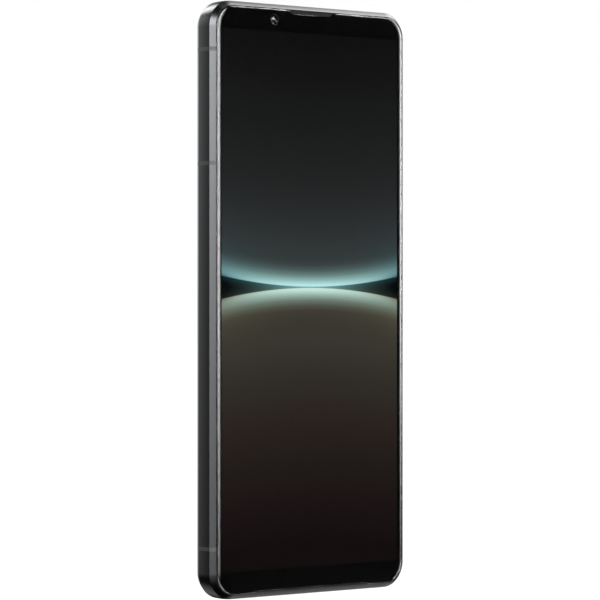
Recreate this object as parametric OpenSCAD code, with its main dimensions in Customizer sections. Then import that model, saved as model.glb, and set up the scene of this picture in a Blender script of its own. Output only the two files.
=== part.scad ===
// Slim tall-screen handset standing on its bottom edge.
// Each piece is drawn as it lies on a bench: x across, y along the length from the bottom edge,
// z through the thickness towards the screen. upright() then stands it up, screen facing -Y.

/* [Body] */
// Width across the side walls
body_w = 67; // [65:0.5:82]
// Length from bottom edge to top edge
body_h = 156; // [140:1:190]
// Thickness from cover glass to rear glass
body_t = 8.2; // [8.2:0.1:10]
// Outer corner radius, seen from the front
corner_r = 7; // [6:0.5:10]
// Wall thickness of the metal frame
frame_wall = 2.6; // [2.5:0.1:3]
// Thickness of the frame's inner plate
plate_t = 0.7; // [0.5:0.05:0.9]
// Front bevel of the frame, measured across the face
bevel_w = 1.26; // [1:0.02:1.3]
// Front bevel of the frame, measured through the thickness
bevel_drop = 1.3; // [1:0.05:1.6]
// Rear bevel of the frame, measured across the face
rear_bevel_w = 1.2; // [0.8:0.05:1.3]
// Rear bevel of the frame, measured through the thickness
rear_bevel_drop = 1.9; // [1.2:0.1:2]
// How far the frame's two lips stay below the glass faces
lip_drop = 0.2; // [0.1:0.05:0.3]

/* [Glass and screen] */
// Inset of both glasses from the frame's outer edge
glass_inset = 1.45; // [1.45:0.05:1.6]
// Thickness of the cover glass
glass_t = 0.55; // [0.45:0.05:0.6]
// Thickness of the rear glass
rear_glass_t = 0.6; // [0.5:0.05:0.7]
// Thickness of the tape under the cover glass
glass_tape_t = 0.2; // [0.1:0.05:0.3]
// Thickness of the tape under the rear glass
rear_tape_t = 0.15; // [0.1:0.05:0.2]
// Distance from body side to screen panel
panel_side = 2.8; // [2.8:0.05:3.2]
// Distance from body end to screen panel
panel_end = 6.5; // [6.5:0.1:9]
// Thickness of the screen panel
panel_t = 0.6; // [0.5:0.05:0.7]
// Thickness of the foil behind the panel
backing_t = 0.2; // [0.1:0.05:0.25]
// Width of the screen's ribbon
screen_flex_w = 10; // [6:1:12]

/* [Antenna breaks] */
// Width of each plastic break in the metal wall
break_w = 1.04; // [0.8:0.02:1.5]
// Distance of the top breaks from the top edge
break_top = 12.9; // [11:0.1:15]
// Distance of the middle break from the top edge
break_mid = 42.5; // [38:0.5:50]
// Distance of the bottom breaks from the bottom edge
break_bottom = 13.4; // [11:0.1:15]

/* [Speakers] */
// Half width of the earpiece notch at the glass edge
notch_top = 7.9; // [7:0.1:9]
// Half width of the earpiece notch at its floor
notch_floor = 6.6; // [6:0.1:6.9]
// Depth of the earpiece notch
notch_d = 1.05; // [0.9:0.05:1.3]
// Half width of the loudspeaker slit in the glass edge
slit_half = 19.2; // [12:0.1:20]
// Depth of the loudspeaker slit
slit_d = 0.5; // [0.3:0.05:0.6]
// Height of both sound meshes above their ledge
mesh_t = 0.4; // [0.2:0.05:0.5]
// Earpiece speaker: width, length and thickness
ear_box = [15, 7.2, 3.2];
// Length of the loudspeaker box
loud_l = 19; // [16:0.5:20]
// Half travel of both speaker cones
cone_travel = 0.25; // [0.1:0.05:0.3]

/* [Front camera and sensor] */
// Offset of the front camera from the middle, to the left
selfie_x = 12.6; // [11.6:0.1:13]
// Distance of the front camera from the top edge
selfie_drop = 4.2; // [4.2:0.1:5]
// Outer radius of the front camera barrel
selfie_r = 1.35; // [1.1:0.05:1.4]
// Side of the front camera's square housing
selfie_side = 4.2; // [3.8:0.1:4.2]
// Offset of the light sensor from the middle, to the right
sensor_x = 11; // [10:0.5:12]

/* [Rear cameras] */
// Distance of the camera column from the body side
cam_side = 11.5; // [11.5:0.1:13]
// Width of the raised camera island
island_w = 13.6; // [13:0.1:14]
// Distance of the island from the top edge
island_top = 6.5; // [6:0.5:9]
// How far the island stands out of the rear glass
island_rise = 1; // [0.8:0.1:1.5]
// Distance between lens centres
lens_pitch = 12.5; // [12:0.1:15]
// Distance of the first lens centre from the island's top end
first_lens = 11.5; // [11.5:0.1:12.5]
// Distance of the last lens centre from the island's other end
last_lens = 7.5; // [7.5:0.1:9]
// Gap between the camera island and the battery, along the body
island_gap = 0.5; // [0.5:0.1:3]
// Housing sides, from the top: ultra wide, wide and tele
module_sides = [9, 11, 10];
// Barrel radii, from the top: ultra wide, wide and tele
barrel_rs = [3, 3.6, 3.2];
// Focus travel of the lens barrels
focus_travel = 0.3; // [0.1:0.05:0.35]

/* [Boards] */
// Thickness of both circuit boards
board_t = 0.75; // [0.6:0.05:0.8]
// Gap between the boards and the frame's plate
board_gap = 0.3; // [0.2:0.05:0.4]
// Length of the bay below the battery
lower_bay = 27; // [27:0.5:30]
// Height of the shield cans over the board
can_h = 1.6; // [1.4:0.1:1.8]
// Sheet thickness of the shield cans
can_t = 0.2; // [0.15:0.05:0.25]
// Thickness of the two antenna brackets
bracket_t = 0.6; // [0.5:0.05:0.7]
// Thickness of the ribbons
flex_t = 0.2; // [0.1:0.05:0.2]

/* [Battery and coil] */
// Gap between the battery and the frame's side walls
battery_side = 2.4; // [2.4:0.1:4]
// Room left for the battery to swell
swell_gap = 0.3; // [0.2:0.05:0.4]
// Thickness of the battery's adhesive strips
battery_tape_t = 0.15; // [0.1:0.05:0.2]
// Outer radius of the charging coil
coil_r = 22; // [18:0.5:23]
// Inner radius of the charging coil
coil_hole_r = 10; // [8:0.5:12]
// Thickness of the charging coil
coil_t = 0.3; // [0.2:0.05:0.35]
// Thickness of the coil's ferrite sheet
ferrite_t = 0.15; // [0.1:0.05:0.2]

/* [Sockets] */
// Outer width of the charging socket's shell
usb_w = 8.94; // [8.9:0.02:9]
// Outer height of the charging socket's shell
usb_h = 3.26; // [3.2:0.02:3.3]
// Length of the charging socket's shell
usb_l = 7.5; // [7:0.1:7.6]
// Sheet thickness of the charging socket's shell
usb_wall = 0.3; // [0.25:0.05:0.35]
// Bore radius of the audio socket
jack_r = 1.8; // [1.76:0.01:1.8]
// Length of the audio socket
jack_l = 14; // [13.5:0.1:14.2]
// Distance of the audio socket from the body side
jack_side = 13.5; // [12.5:0.1:13.8]
// Height of the audio socket's body
jack_h = 4.3; // [4.2:0.05:4.4]
// Radius of the microphone holes
mic_r = 0.45; // [0.3:0.05:0.6]

/* [Keys] */
// Width of all keys, through the thickness of the body
key_w = 2.4; // [2:0.1:2.6]
// Length of the volume key
volume_l = 21; // [18:0.5:24]
// Distance of the volume key's middle from the top edge
volume_top = 32; // [30:0.5:36]
// Length of the power key
power_l = 13; // [11:0.5:15]
// Distance of the power key's middle from the top edge
power_top = 63; // [58:0.5:68]
// Length of the shutter key
shutter_l = 11; // [9:0.5:13]
// Distance of the shutter key's middle from the bottom edge
shutter_bottom = 38; // [36:0.5:44]
// How far the volume and shutter keys stand out of the wall
key_proud = 0.45; // [0.3:0.05:0.6]
// Thickness of the fingerprint sensor on the power key
finger_t = 0.15; // [0.1:0.05:0.2]
// Travel of the power and shutter keys
key_travel = 0.25; // [0.15:0.05:0.25]

/* [Card tray] */
// Distance of the tray's middle from the inside of the side wall
tray_side = 11.9; // [11.7:0.1:12]
// Width of the tray's door
door_w = 16.6; // [16.4:0.1:16.8]
// Height of the tray's door
door_h = 2.6; // [2.2:0.1:2.7]
// Thickness of the tray's door
door_t = 1.1; // [1:0.05:1.2]
// Width of the tray
tray_w = 15; // [14.6:0.1:15]
// Thickness of the tray
tray_t = 1.1; // [1:0.05:1.2]
// Depth that the tray reaches into the body
tray_l = 23.4; // [22:0.2:23.4]
// Thickness of the tray's rubber ring
seal_t = 0.4; // [0.3:0.05:0.45]

/* [Vibration motor] */
// Outer size of the motor: width, length and height
motor_box = [16, 9.8, 3.5];
// Sheet thickness of the motor's case
motor_wall = 0.3; // [0.2:0.05:0.35]
// Size of the moving mass: width, length and height
motor_mass = [12.8, 8.7, 2.4];

/* [Screws] */
// Radius of the screws' shanks
screw_r = 0.7; // [0.6:0.05:0.8]
// Radius of the screws' heads
head_r = 1.3; // [1.2:0.05:1.4]
// Height of the screws' heads
head_t = 0.15; // [0.1:0.05:0.15]
// Radius of the bosses that the screws enter
boss_r = 1.6; // [1.5:0.05:1.7]

/* [Fits] */
// Gap around a glass in its pocket
glass_gap = 0.08; // [0.05:0.01:0.15]
// Gap around fixed inner pieces
seat_gap = 0.1; // [0.05:0.05:0.15]
// Gap between a lens barrel and its housing
barrel_gap = 0.05; // [0.03:0.01:0.08]
// Gap around the keys and the tray's door
key_gap = 0.12; // [0.1:0.01:0.14]
// Gap around the tray inside the body
tray_gap = 0.2; // [0.15:0.05:0.25]

/* [Hidden] */
$fn = 64;
// Overshoot of cutting shapes
cut = 1;

// Levels through the thickness, from the screen to the rear
front_z = body_t / 2;
glass_in_z = front_z - glass_t;
ledge_z = glass_in_z - glass_tape_t;
panel_z = glass_in_z - panel_t;
backing_z = panel_z - backing_t;
plate_z = backing_z - plate_t;
rear_z = -body_t / 2;
rear_in_z = rear_z + rear_glass_t;
rear_ledge_z = rear_in_z + rear_tape_t;
front_lip_z = front_z - lip_drop;
rear_lip_z = rear_z + lip_drop;
front_flat_z = front_lip_z - bevel_drop;
rear_flat_z = rear_lip_z + rear_bevel_drop;
pocket_in = glass_inset - glass_gap;
key_z = (front_flat_z + rear_flat_z) / 2;

// Sides of the inner cavity
side_x = body_w / 2;
cavity_x = side_x - frame_wall;
cavity_y0 = frame_wall;
cavity_y1 = body_h - frame_wall;

// Boards and what stands on them
board_front_z = plate_z - board_gap;
board_z = board_front_z - board_t;
port_drop = 1;
port_z = board_z - port_drop;
board_side = 0.5;
board_corner = 3;
plug_t = 0.3;
flex_z = board_z - plug_t - flex_t;
island_l = first_lens + 2 * lens_pitch + last_lens;
upper_bay = island_top + island_l + island_gap;
main_y0 = body_h - upper_bay + 7;
jack_y1 = cavity_y1 - 0.6;
jack_y0 = jack_y1 - jack_l;
ear_y1 = cavity_y1 - 0.5;
ear_y0 = ear_y1 - ear_box[1];
sub_y0 = cavity_y0 + 0.4;
sub_y1 = lower_bay - 0.6;
usb_open_gap = 0.13;
low_mic_x = usb_w / 2 + usb_open_gap + 2.1;
sub_x1 = low_mic_x + 2.2;

// Battery and coil stack
battery_y0 = lower_bay;
battery_y1 = body_h - upper_bay;
battery_x = cavity_x - battery_side;
battery_front_z = plate_z - battery_tape_t;
coil_rear_z = rear_in_z + swell_gap;
ferrite_rear_z = coil_rear_z + coil_t;
battery_rear_z = ferrite_rear_z + ferrite_t;
coil_y = (battery_y0 + battery_y1) / 2;

// Brackets, bosses and screws
bracket_rear_z = rear_in_z + 0.2;
bracket_front_z = bracket_rear_z + bracket_t;
boss_x = cavity_x - boss_r - 0.1;
boss_foot_r = 2;
main_bosses = [
    [-boss_x, main_y0 + 7.5], [-boss_x, cavity_y1 - 12.4], [-selfie_x, cavity_y1 - 11],
    [side_x - cam_side - 10.1, main_y0 + 2.5], [side_x - cam_side - 10.1, cavity_y1 - 11]
];
sub_bosses = [
    [-boss_x, cavity_y0 + 3.8], [-boss_x, cavity_y0 + 14.4], [-low_mic_x - 0.9, cavity_y0 + 3.4],
    [low_mic_x, cavity_y0 + 8], [boss_x, cavity_y0 + 3.8], [boss_x, lower_bay - 2.8]
];

// Cameras
cam_x = side_x - cam_side;
island_y1 = body_h - island_top;
island_y0 = island_y1 - island_l;
island_y = (island_y0 + island_y1) / 2;
island_z = rear_z - island_rise;
island_rim = 0.6;
island_glass_z = rear_z - 0.3;
island_flange = 0.7;
flange_z = rear_in_z + 0.3;
lens_ys = [for (i = [0:2]) island_y1 - first_lens - i * lens_pitch];
housing_z = flange_z + 0.2;
lens_hole_r = max(barrel_rs) + 0.3;
barrel_rear_z = rear_z + 0.4;
flash_p = [cam_x - 1.6, island_y1 - 3.3];
flash_r = 1.4;
rear_mic_p = [cam_x + 2.4, island_y1 - 3.3];
sensor_z = plate_z - 0.8;

// Sockets
usb_y0 = 0.5;
jack_x = -(side_x - jack_side);
jack_z = plate_z - seat_gap - jack_h / 2;
jack_w = 6.4;
top_mic_x = 12;
mic_box = [2.8, 2.2, 0.9];

// Keys, from the flexible board outwards
key_wall_x = cavity_x - 1.4;
dome_t = 0.3;
dome_r = 1.3;
flange_t = 0.5;
flange_lap = 0.45;
flange_x = cavity_x - 0.1 - flange_t;
volume_y = body_h - volume_top;
power_y = body_h - power_top;
shutter_y = shutter_bottom;
volume_dome = 7;
volume_flange = 6;
rib_t = 0.5;

// Card tray
tray_x = -(cavity_x - tray_side);
tray_z = (front_flat_z + rear_flat_z) / 2 - 0.2;
door_seat = door_t + seal_t + 0.1;
reader_wall = 0.15;
reader_w = tray_w + 2 * (tray_gap + 0.6);
reader_y1 = tray_l + 2 * tray_gap + reader_wall;

module upright() {
    rotate([90, 0, 0]) children();
}

module layer(z0, z1) {
    translate([0, 0, z0]) linear_extrude(z1 - z0) children();
}

module block(low, high) {
    translate(low) cube(high - low);
}

// Rounded rectangle between two corners
module plan_rect(low, high, r) {
    translate([low[0] + r, low[1]]) square([high[0] - low[0] - 2 * r, high[1] - low[1]]);
    translate([low[0], low[1] + r]) square([high[0] - low[0], high[1] - low[1] - 2 * r]);
    for (x = [low[0] + r, high[0] - r], y = [low[1] + r, high[1] - r])
        translate([x, y]) circle(r);
}

// The body's outline, drawn in by an inset
module outline(inset) {
    plan_rect([-side_x + inset, inset], [side_x - inset, body_h - inset], corner_r - inset);
}

// Long round-ended shape along y
module pill(w, l) {
    square([w, l - w], center = true);
    for (s = [-1, 1]) translate([0, s * (l - w) / 2]) circle(w / 2);
}

// Round-ended bar along y between two faces, wide in x
module bar_y(w, h, y0, y1) {
    translate([0, y0, 0]) rotate([-90, 0, 0]) linear_extrude(y1 - y0) rotate(90) pill(h, w);
}

// Round-ended bar along x between two faces, long in y
module bar_x(w, l, x0, x1) {
    translate([x0, 0, 0]) rotate([0, 90, 0]) linear_extrude(x1 - x0) pill(w, l);
}

// Section of the frame's wall, from the outer face inwards
module wall_profile() {
    polygon([
        [0, rear_flat_z], [0, front_flat_z], [bevel_w, front_lip_z], [pocket_in, front_lip_z],
        [pocket_in, ledge_z], [frame_wall, ledge_z], [frame_wall, rear_ledge_z],
        [pocket_in, rear_ledge_z], [pocket_in, rear_lip_z], [rear_bevel_w, rear_lip_z]
    ]);
}

module wall_run(length) {
    rotate([90, 0, 0]) linear_extrude(length) wall_profile();
}

module wall_ring() {
    for (side = [0, 1]) mirror([side, 0, 0])
        translate([-side_x, body_h - corner_r, 0]) wall_run(body_h - 2 * corner_r);
    for (end = [0, 1]) translate([0, end * body_h, 0]) mirror([0, end, 0])
        translate([-side_x + corner_r, 0, 0]) rotate(90) wall_run(body_w - 2 * corner_r);
    for (turn = [0:3])
        translate([
            (turn == 0 || turn == 3 ? 1 : -1) * (side_x - corner_r),
            turn < 2 ? body_h - corner_r : corner_r, 0
        ])
            rotate(turn * 90) rotate_extrude(angle = 90)
                translate([corner_r, 0]) mirror([1, 0]) wall_profile();
}

module break_slots() {
    for (y = [body_h - break_top, break_bottom], s = [-1, 1])
        translate([s * side_x, y, 0]) cube([2 * frame_wall, break_w, body_t + cut], center = true);
    translate([-side_x, body_h - break_mid, 0])
        cube([2 * frame_wall, break_w, body_t + cut], center = true);
}

module frame_bosses() {
    for (p = concat(main_bosses, sub_bosses)) translate([p[0], p[1], bracket_front_z]) {
        cylinder(r = boss_r, h = plate_z + plate_t / 2 - bracket_front_z);
        translate([0, 0, board_front_z - bracket_front_z])
            cylinder(r = boss_foot_r, h = board_gap + plate_t / 2);
    }
}

// Ribs that back the key switches
module key_ribs() {
    for (key = [[volume_y, volume_l], [power_y, power_l], [shutter_y, shutter_l]])
        block(
            [key_wall_x - flex_t - rib_t, key[0] - key[1] / 2, key_z - key_w / 2],
            [key_wall_x - flex_t, key[0] + key[1] / 2, plate_z + plate_t / 2]
        );
}

module key_slots() {
    for (key = [[volume_y, volume_l], [power_y, power_l], [shutter_y, shutter_l]])
        translate([0, key[0], key_z])
            bar_x(key_w + 2 * key_gap, key[1] + 2 * key_gap, cavity_x - cut, side_x + cut);
}

module socket_holes() {
    translate([jack_x, cavity_y1 - cut, jack_z]) rotate([-90, 0, 0])
        cylinder(r = jack_r, h = frame_wall + 2 * cut);
    translate([0, 0, port_z])
        bar_y(usb_w + 2 * usb_open_gap, usb_h + 2 * usb_open_gap, -cut, cavity_y0 + cut);
    translate([tray_x, 0, tray_z]) {
        bar_y(door_w + 2 * key_gap, door_h + 2 * key_gap, -cut, door_seat);
        block(
            [-tray_w / 2 - tray_gap, 0, -tray_t / 2 - tray_gap],
            [tray_w / 2 + tray_gap, cavity_y0 + cut, tray_t / 2 + tray_gap]
        );
    }
    translate([low_mic_x, -cut, board_z - mic_r]) rotate([-90, 0, 0])
        cylinder(r = mic_r, h = frame_wall + 2 * cut);
    translate([top_mic_x, cavity_y1 - cut, port_z]) rotate([-90, 0, 0])
        cylinder(r = mic_r, h = frame_wall + 2 * cut);
}

// Passages for sound between the glass edges and the cavity
trough_in = glass_inset + 0.1;
ear_trough = [notch_floor - 0.6, 0.5];
slit_trough = [slit_half - 1.2, 0.4];
module sound_channels() {
    top_y = body_h - glass_inset - notch_d / 2 + ear_trough[1] / 2;
    block([-ear_trough[0], top_y - ear_trough[1], port_z + 1.2], [ear_trough[0], top_y, front_z]);
    block([-ear_trough[0], cavity_y1 - cut, port_z + 1.2], [ear_trough[0], top_y, plate_z]);
    block(
        [-slit_trough[0], trough_in, plate_z + 0.25],
        [slit_trough[0], trough_in + slit_trough[1], front_z]
    );
    block(
        [sub_x1 + 1.1, trough_in, plate_z - 1.1],
        [slit_trough[0], cavity_y0 + cut, plate_z]
    );
    block(
        [sub_x1 + 1.1, trough_in, plate_z - cut],
        [slit_trough[0], trough_in + slit_trough[1], front_z]
    );
}

module front_apertures() {
    translate([-selfie_x, body_h - selfie_drop, plate_z - cut])
        cylinder(r = selfie_r + seat_gap, h = body_t);
    block(
        [-selfie_x - selfie_side / 2 - seat_gap, cavity_y1 - cut, plate_z - 4],
        [-selfie_x + selfie_side / 2 + seat_gap, selfie_y1 + seat_gap, plate_z]
    );
    translate([sensor_x, body_h - selfie_drop - 0.2, plate_z])
        cube([2.4, 1.4, body_t], center = true);
    block(
        [-screen_flex_w / 2 - flex_shift, flex_slot_y, plate_z - cut],
        [screen_flex_w / 2 - flex_shift, flex_slot_y + 1.2, front_z]
    );
}
selfie_y1 = body_h - selfie_drop + selfie_side / 2;
flex_shift = 3;
flex_slot_y = main_y0 - 2.4;

module screen_pocket() {
    side = panel_side - seat_gap;
    end = panel_end - seat_gap;
    layer(backing_z, front_z)
        plan_rect([-side_x + side, end], [side_x - side, body_h - end], 1);
}

module mid_frame() {
    color("dimgray") upright() difference() {
        union() {
            wall_ring();
            layer(plate_z, ledge_z) outline(frame_wall - seat_gap);
            frame_bosses();
            key_ribs();
        }
        screen_pocket();
        front_apertures();
        sound_channels();
        socket_holes();
        key_slots();
        difference() {
            break_slots();
            layer(plate_z, ledge_z + cut) outline(frame_wall - seat_gap);
        }
        for (p = concat(main_bosses, sub_bosses)) translate([p[0], p[1], bracket_front_z - cut])
            cylinder(r = screw_r + barrel_gap, h = cut + plate_z - bracket_front_z);
    }
}

module antenna_breaks() {
    color("slategray") upright() difference() {
        intersection() {
            wall_ring();
            break_slots();
        }
        layer(plate_z, ledge_z + cut) outline(frame_wall - seat_gap);
        screen_pocket();
        key_slots();
    }
}

module ear_notch(gap) {
    top_y = body_h - glass_inset;
    floor_y = top_y - notch_d + gap;
    polygon([
        [-notch_top + gap, top_y + cut], [-notch_top + gap, top_y], [-notch_floor + gap, floor_y],
        [notch_floor - gap, floor_y], [notch_top - gap, top_y], [notch_top - gap, top_y + cut]
    ]);
}

module cover_glass() {
    color("black") upright() layer(glass_in_z, front_z) difference() {
        outline(glass_inset);
        ear_notch(0);
        translate([-slit_half, 0]) square([2 * slit_half, glass_inset + slit_d]);
    }
}

module display_adhesive() {
    color("dimgray") upright() layer(ledge_z, glass_in_z) difference() {
        outline(glass_inset + seat_gap);
        translate([-side_x + panel_side - 2 * seat_gap, panel_end - 2 * seat_gap])
            square([
                body_w - 2 * panel_side + 4 * seat_gap,
                body_h - 2 * panel_end + 4 * seat_gap
            ]);
        translate([-notch_top - seat_gap, body_h - glass_inset - notch_d - seat_gap])
            square([2 * notch_top + 2 * seat_gap, notch_d + cut]);
        translate([-slit_half - seat_gap, 0])
            square([2 * slit_half + 2 * seat_gap, glass_inset + slit_d + seat_gap]);
        translate([-selfie_x, body_h - selfie_drop]) circle(selfie_r + 2 * seat_gap);
        translate([sensor_x, body_h - selfie_drop - 0.2]) square([2.6, 1.6], center = true);
    }
}

module display_panel() {
    color("midnightblue") upright() layer(panel_z, glass_in_z) plan_rect(
        [-side_x + panel_side, panel_end], [side_x - panel_side, body_h - panel_end], 1
    );
}

module display_backing() {
    color("peru") upright() layer(backing_z, panel_z) difference() {
        plan_rect(
            [-side_x + panel_side, panel_end], [side_x - panel_side, body_h - panel_end], 1
        );
        translate([-screen_flex_w / 2 - flex_shift, flex_slot_y])
            square([screen_flex_w, 1.2]);
    }
}

// A ribbon's plug, seated on the rear face of a board
module ribbon_plug(x0, x1, y0, y1) {
    block([x0, y0, flex_z], [x1, y1, flex_z + flex_t]);
    block([x0, y0, flex_z + flex_t], [x1, y1, board_z]);
}

module display_flex() {
    x0 = -screen_flex_w / 2 - flex_shift + seat_gap;
    x1 = screen_flex_w / 2 - flex_shift - seat_gap;
    y0 = flex_slot_y + 0.5;
    color("darkgoldenrod") upright() {
        block([x0, y0, flex_z], [x1, y0 + flex_t, panel_z]);
        block([x0, y0, flex_z], [x1, main_y0 + 4, flex_z + flex_t]);
        ribbon_plug(x0, x1, main_y0 + 1.4, main_y0 + 4);
    }
}

module earpiece_mesh() {
    color("black") upright() layer(ledge_z, ledge_z + mesh_t) intersection() {
        ear_notch(glass_gap);
        outline(glass_inset);
    }
}

module speaker_case(size, low, front, pocket, pocket_t) {
    difference() {
        block([low[0], low[1], front - size[2]], [low[0] + size[0], low[1] + size[1], front]);
        translate([low[0] + size[0] / 2, low[1] + size[1] / 2, front])
            cube([pocket[0], pocket[1], 2 * pocket_t], center = true);
    }
}

ear_front_z = plate_z - seat_gap;
ear_pocket = [12, 5];
cone_t = 0.25;
pocket_t = 2 * cone_travel + cone_t + 0.2;
module earpiece_speaker() {
    color("gray") upright()
        speaker_case(ear_box, [-ear_box[0] / 2, ear_y0], ear_front_z, ear_pocket, pocket_t);
}

module earpiece_cone() {
    color("silver") upright() translate([0, ear_y0 + ear_box[1] / 2, ear_front_z - pocket_t / 2])
        cube([ear_pocket[0] - 4 * seat_gap, ear_pocket[1] - 4 * seat_gap, cone_t], center = true);
}

lens_r = 1;
lens_t = 0.4;
barrel_top_z = glass_in_z - 0.2;
module front_camera() {
    color("black") upright() {
        block(
            [-selfie_x - selfie_side / 2, selfie_y1 - selfie_side, plate_z - 3.5],
            [-selfie_x + selfie_side / 2, selfie_y1, plate_z]
        );
        translate([-selfie_x, body_h - selfie_drop, plate_z]) difference() {
            cylinder(r = selfie_r, h = barrel_top_z - plate_z);
            translate([0, 0, barrel_top_z - plate_z - lens_t]) cylinder(r = lens_r, h = cut);
        }
    }
}

module front_camera_lens() {
    color("navy") upright()
        translate([-selfie_x, body_h - selfie_drop, barrel_top_z - lens_t])
            cylinder(r = lens_r, h = lens_t);
}

module proximity_sensor() {
    color("darkred") upright() translate([sensor_x, body_h - selfie_drop - 0.2, plate_z - 0.5])
        cube([2.8, 1.8, 1], center = true);
}

loud_x0 = sub_x1 + 0.5;
loud_w = boss_x - boss_foot_r - 0.3 - loud_x0;
loud_y0 = sub_y0;
loud_pocket = [14, 12];
loud_front_z = plate_z - seat_gap;
module loudspeaker_box() {
    size = [loud_w, loud_l, loud_front_z - bracket_front_z - seat_gap];
    color("dimgray") upright()
        speaker_case(size, [loud_x0, loud_y0], loud_front_z, loud_pocket, pocket_t);
}

module loudspeaker_cone() {
    color("silver") upright() translate([
        loud_x0 + loud_w / 2, loud_y0 + loud_l / 2, loud_front_z - pocket_t / 2
    ])
        cube([loud_pocket[0] - 4 * seat_gap, loud_pocket[1] - 4 * seat_gap, cone_t], center = true);
}

module loudspeaker_mesh() {
    color("black") upright() block(
        [-slit_half + glass_gap, pocket_in + glass_gap, ledge_z],
        [slit_half - glass_gap, glass_inset + slit_d - glass_gap / 2, ledge_z + mesh_t]
    );
}

module boss_holes(bosses) {
    for (p = bosses) translate(p) circle(boss_r + 2 * seat_gap);
}

module main_board() {
    left = -cavity_x + board_side;
    right = cam_x - max(module_sides) / 2 - 2.3;
    jack_right = jack_x + jack_w / 2 + 1.2;
    color("darkgreen") upright() layer(board_z, board_front_z) difference() {
        polygon([
            [left, main_y0], [right, main_y0], [right, ear_y0 - 0.7], [jack_right, ear_y0 - 0.7],
            [jack_right, jack_y0 - 0.6], [left, jack_y0 - 0.6]
        ]);
        boss_holes(main_bosses);
    }
}

// The two shield cans, as [low corner, high corner]
cans = [
    [[-boss_x + boss_r + 1.2, main_y0 + 5.6], [-4, jack_y0 - 2.2]],
    [[-2.6, main_y0 + 5.6], [cam_x - 12.4, jack_y0 - 0.8]]
];
can_z = board_z - can_h;
module board_shields() {
    color("silver") upright() for (can = cans) difference() {
        layer(can_z, board_z) plan_rect(can[0], can[1], 1);
        layer(can_z + can_t, board_z + cut)
            plan_rect(can[0] + [can_t, can_t], can[1] - [can_t, can_t], 1 - can_t);
    }
}

chip_p = (cans[0][0] + cans[0][1]) / 2;
chip_side = 14;
chip_t = 1.1;
module board_chips() {
    memory = [cans[1][0][0] + 1, cans[1][0][1] + 1.2];
    color("black") upright() {
        layer(board_z - chip_t, board_z) translate(chip_p) square(chip_side, center = true);
        layer(board_z - 0.9, board_z) translate(memory) square([9.5, 12]);
        layer(board_z - 0.8, board_z) translate(memory + [2.2, 13.2]) square([5, 4]);
    }
}

module thermal_pad() {
    color("lightblue") upright() layer(can_z + can_t, board_z - chip_t)
        translate(chip_p) square(chip_side - 1, center = true);
}

module graphite_sheet() {
    color("darkslategray") upright() layer(can_z - 0.1, can_z) difference() {
        plan_rect(cans[0][0], [cans[1][1][0], cans[0][1][1]], 1);
        boss_holes(main_bosses);
    }
}

module sub_board() {
    notch_w = usb_w + 2 * seat_gap;
    color("darkgreen") upright() layer(board_z, board_front_z) difference() {
        plan_rect([-cavity_x + board_side, sub_y0], [sub_x1, sub_y1], board_corner);
        translate([-notch_w / 2, 0]) square([notch_w, usb_y0 + usb_l + seat_gap]);
        boss_holes(sub_bosses);
    }
}

module usb_receptacle() {
    color("silver") upright() translate([0, 0, port_z]) difference() {
        bar_y(usb_w, usb_h, usb_y0, usb_y0 + usb_l);
        bar_y(usb_w - 2 * usb_wall, usb_h - 2 * usb_wall, usb_y0 - cut, usb_y0 + usb_l - 0.6);
    }
}

module usb_tongue() {
    color("black") upright()
        block([-3.35, usb_y0 + 0.8, port_z - 0.35], [3.35, usb_y0 + usb_l - 0.6, port_z + 0.35]);
}

module usb_seal() {
    color("gray") upright() translate([0, 0, port_z]) difference() {
        bar_y(usb_w + 1.2, usb_h + 0.8, cavity_y0, sub_y0 - 0.05);
        bar_y(usb_w, usb_h, 0, body_h);
    }
}

module audio_jack() {
    color("black") upright() difference() {
        translate([jack_x, (jack_y0 + jack_y1) / 2, jack_z])
            cube([jack_w, jack_l, jack_h], center = true);
        translate([jack_x, jack_y0 + 0.5, jack_z]) rotate([-90, 0, 0])
            cylinder(r = jack_r, h = jack_l);
    }
}

module audio_jack_seal() {
    color("gray") upright() translate([jack_x, jack_y1, jack_z]) rotate([-90, 0, 0])
        difference() {
            cylinder(r = jack_h / 2, h = cavity_y1 - jack_y1);
            translate([0, 0, -cut]) cylinder(r = jack_r, h = 2 * cut + 1);
        }
}

module microphones() {
    color("gold") upright() {
        block(
            [low_mic_x - mic_box[0] / 2, sub_y0, board_z - mic_box[2]],
            [low_mic_x + mic_box[0] / 2 - 0.5, sub_y0 + mic_box[1], board_z]
        );
        block(
            [top_mic_x - mic_box[0] / 2, cavity_y1 - mic_box[1], port_z - mic_box[2] / 2],
            [top_mic_x + mic_box[0] / 2, cavity_y1, port_z + mic_box[2] / 2]
        );
        block(
            [rear_mic_p[0] - mic_box[1] / 2, rear_mic_p[1] - mic_box[1] / 2, flange_z],
            [rear_mic_p[0] + mic_box[1] / 2, rear_mic_p[1] + mic_box[1] / 2, flange_z + mic_box[2]]
        );
    }
}

module battery_cell() {
    color("black") upright() layer(battery_rear_z, battery_front_z)
        plan_rect([-battery_x, battery_y0], [battery_x, battery_y1], 1.5);
}

module battery_board() {
    color("green") upright() {
        block(
            [-battery_x / 2, battery_y1, board_z - 1.8],
            [battery_x / 2, battery_y1 + 3.2, flex_z + flex_t]
        );
        block([4.4, battery_y1 + 3, flex_z], [8.4, main_y0 + 3.4, flex_z + flex_t]);
        ribbon_plug(4.4, 8.4, main_y0 + 1, main_y0 + 3.4);
    }
}

module battery_adhesive() {
    color("ivory") upright() layer(battery_front_z, plate_z) for (s = [-1, 1])
        translate([s * battery_x / 2, coil_y])
            square([12, battery_y1 - battery_y0 - 10], center = true);
}

module charging_coil() {
    color("orangered") upright() translate([0, coil_y, 0]) layer(coil_rear_z, ferrite_rear_z)
        difference() {
            circle(coil_r);
            circle(coil_hole_r);
        }
}

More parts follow.
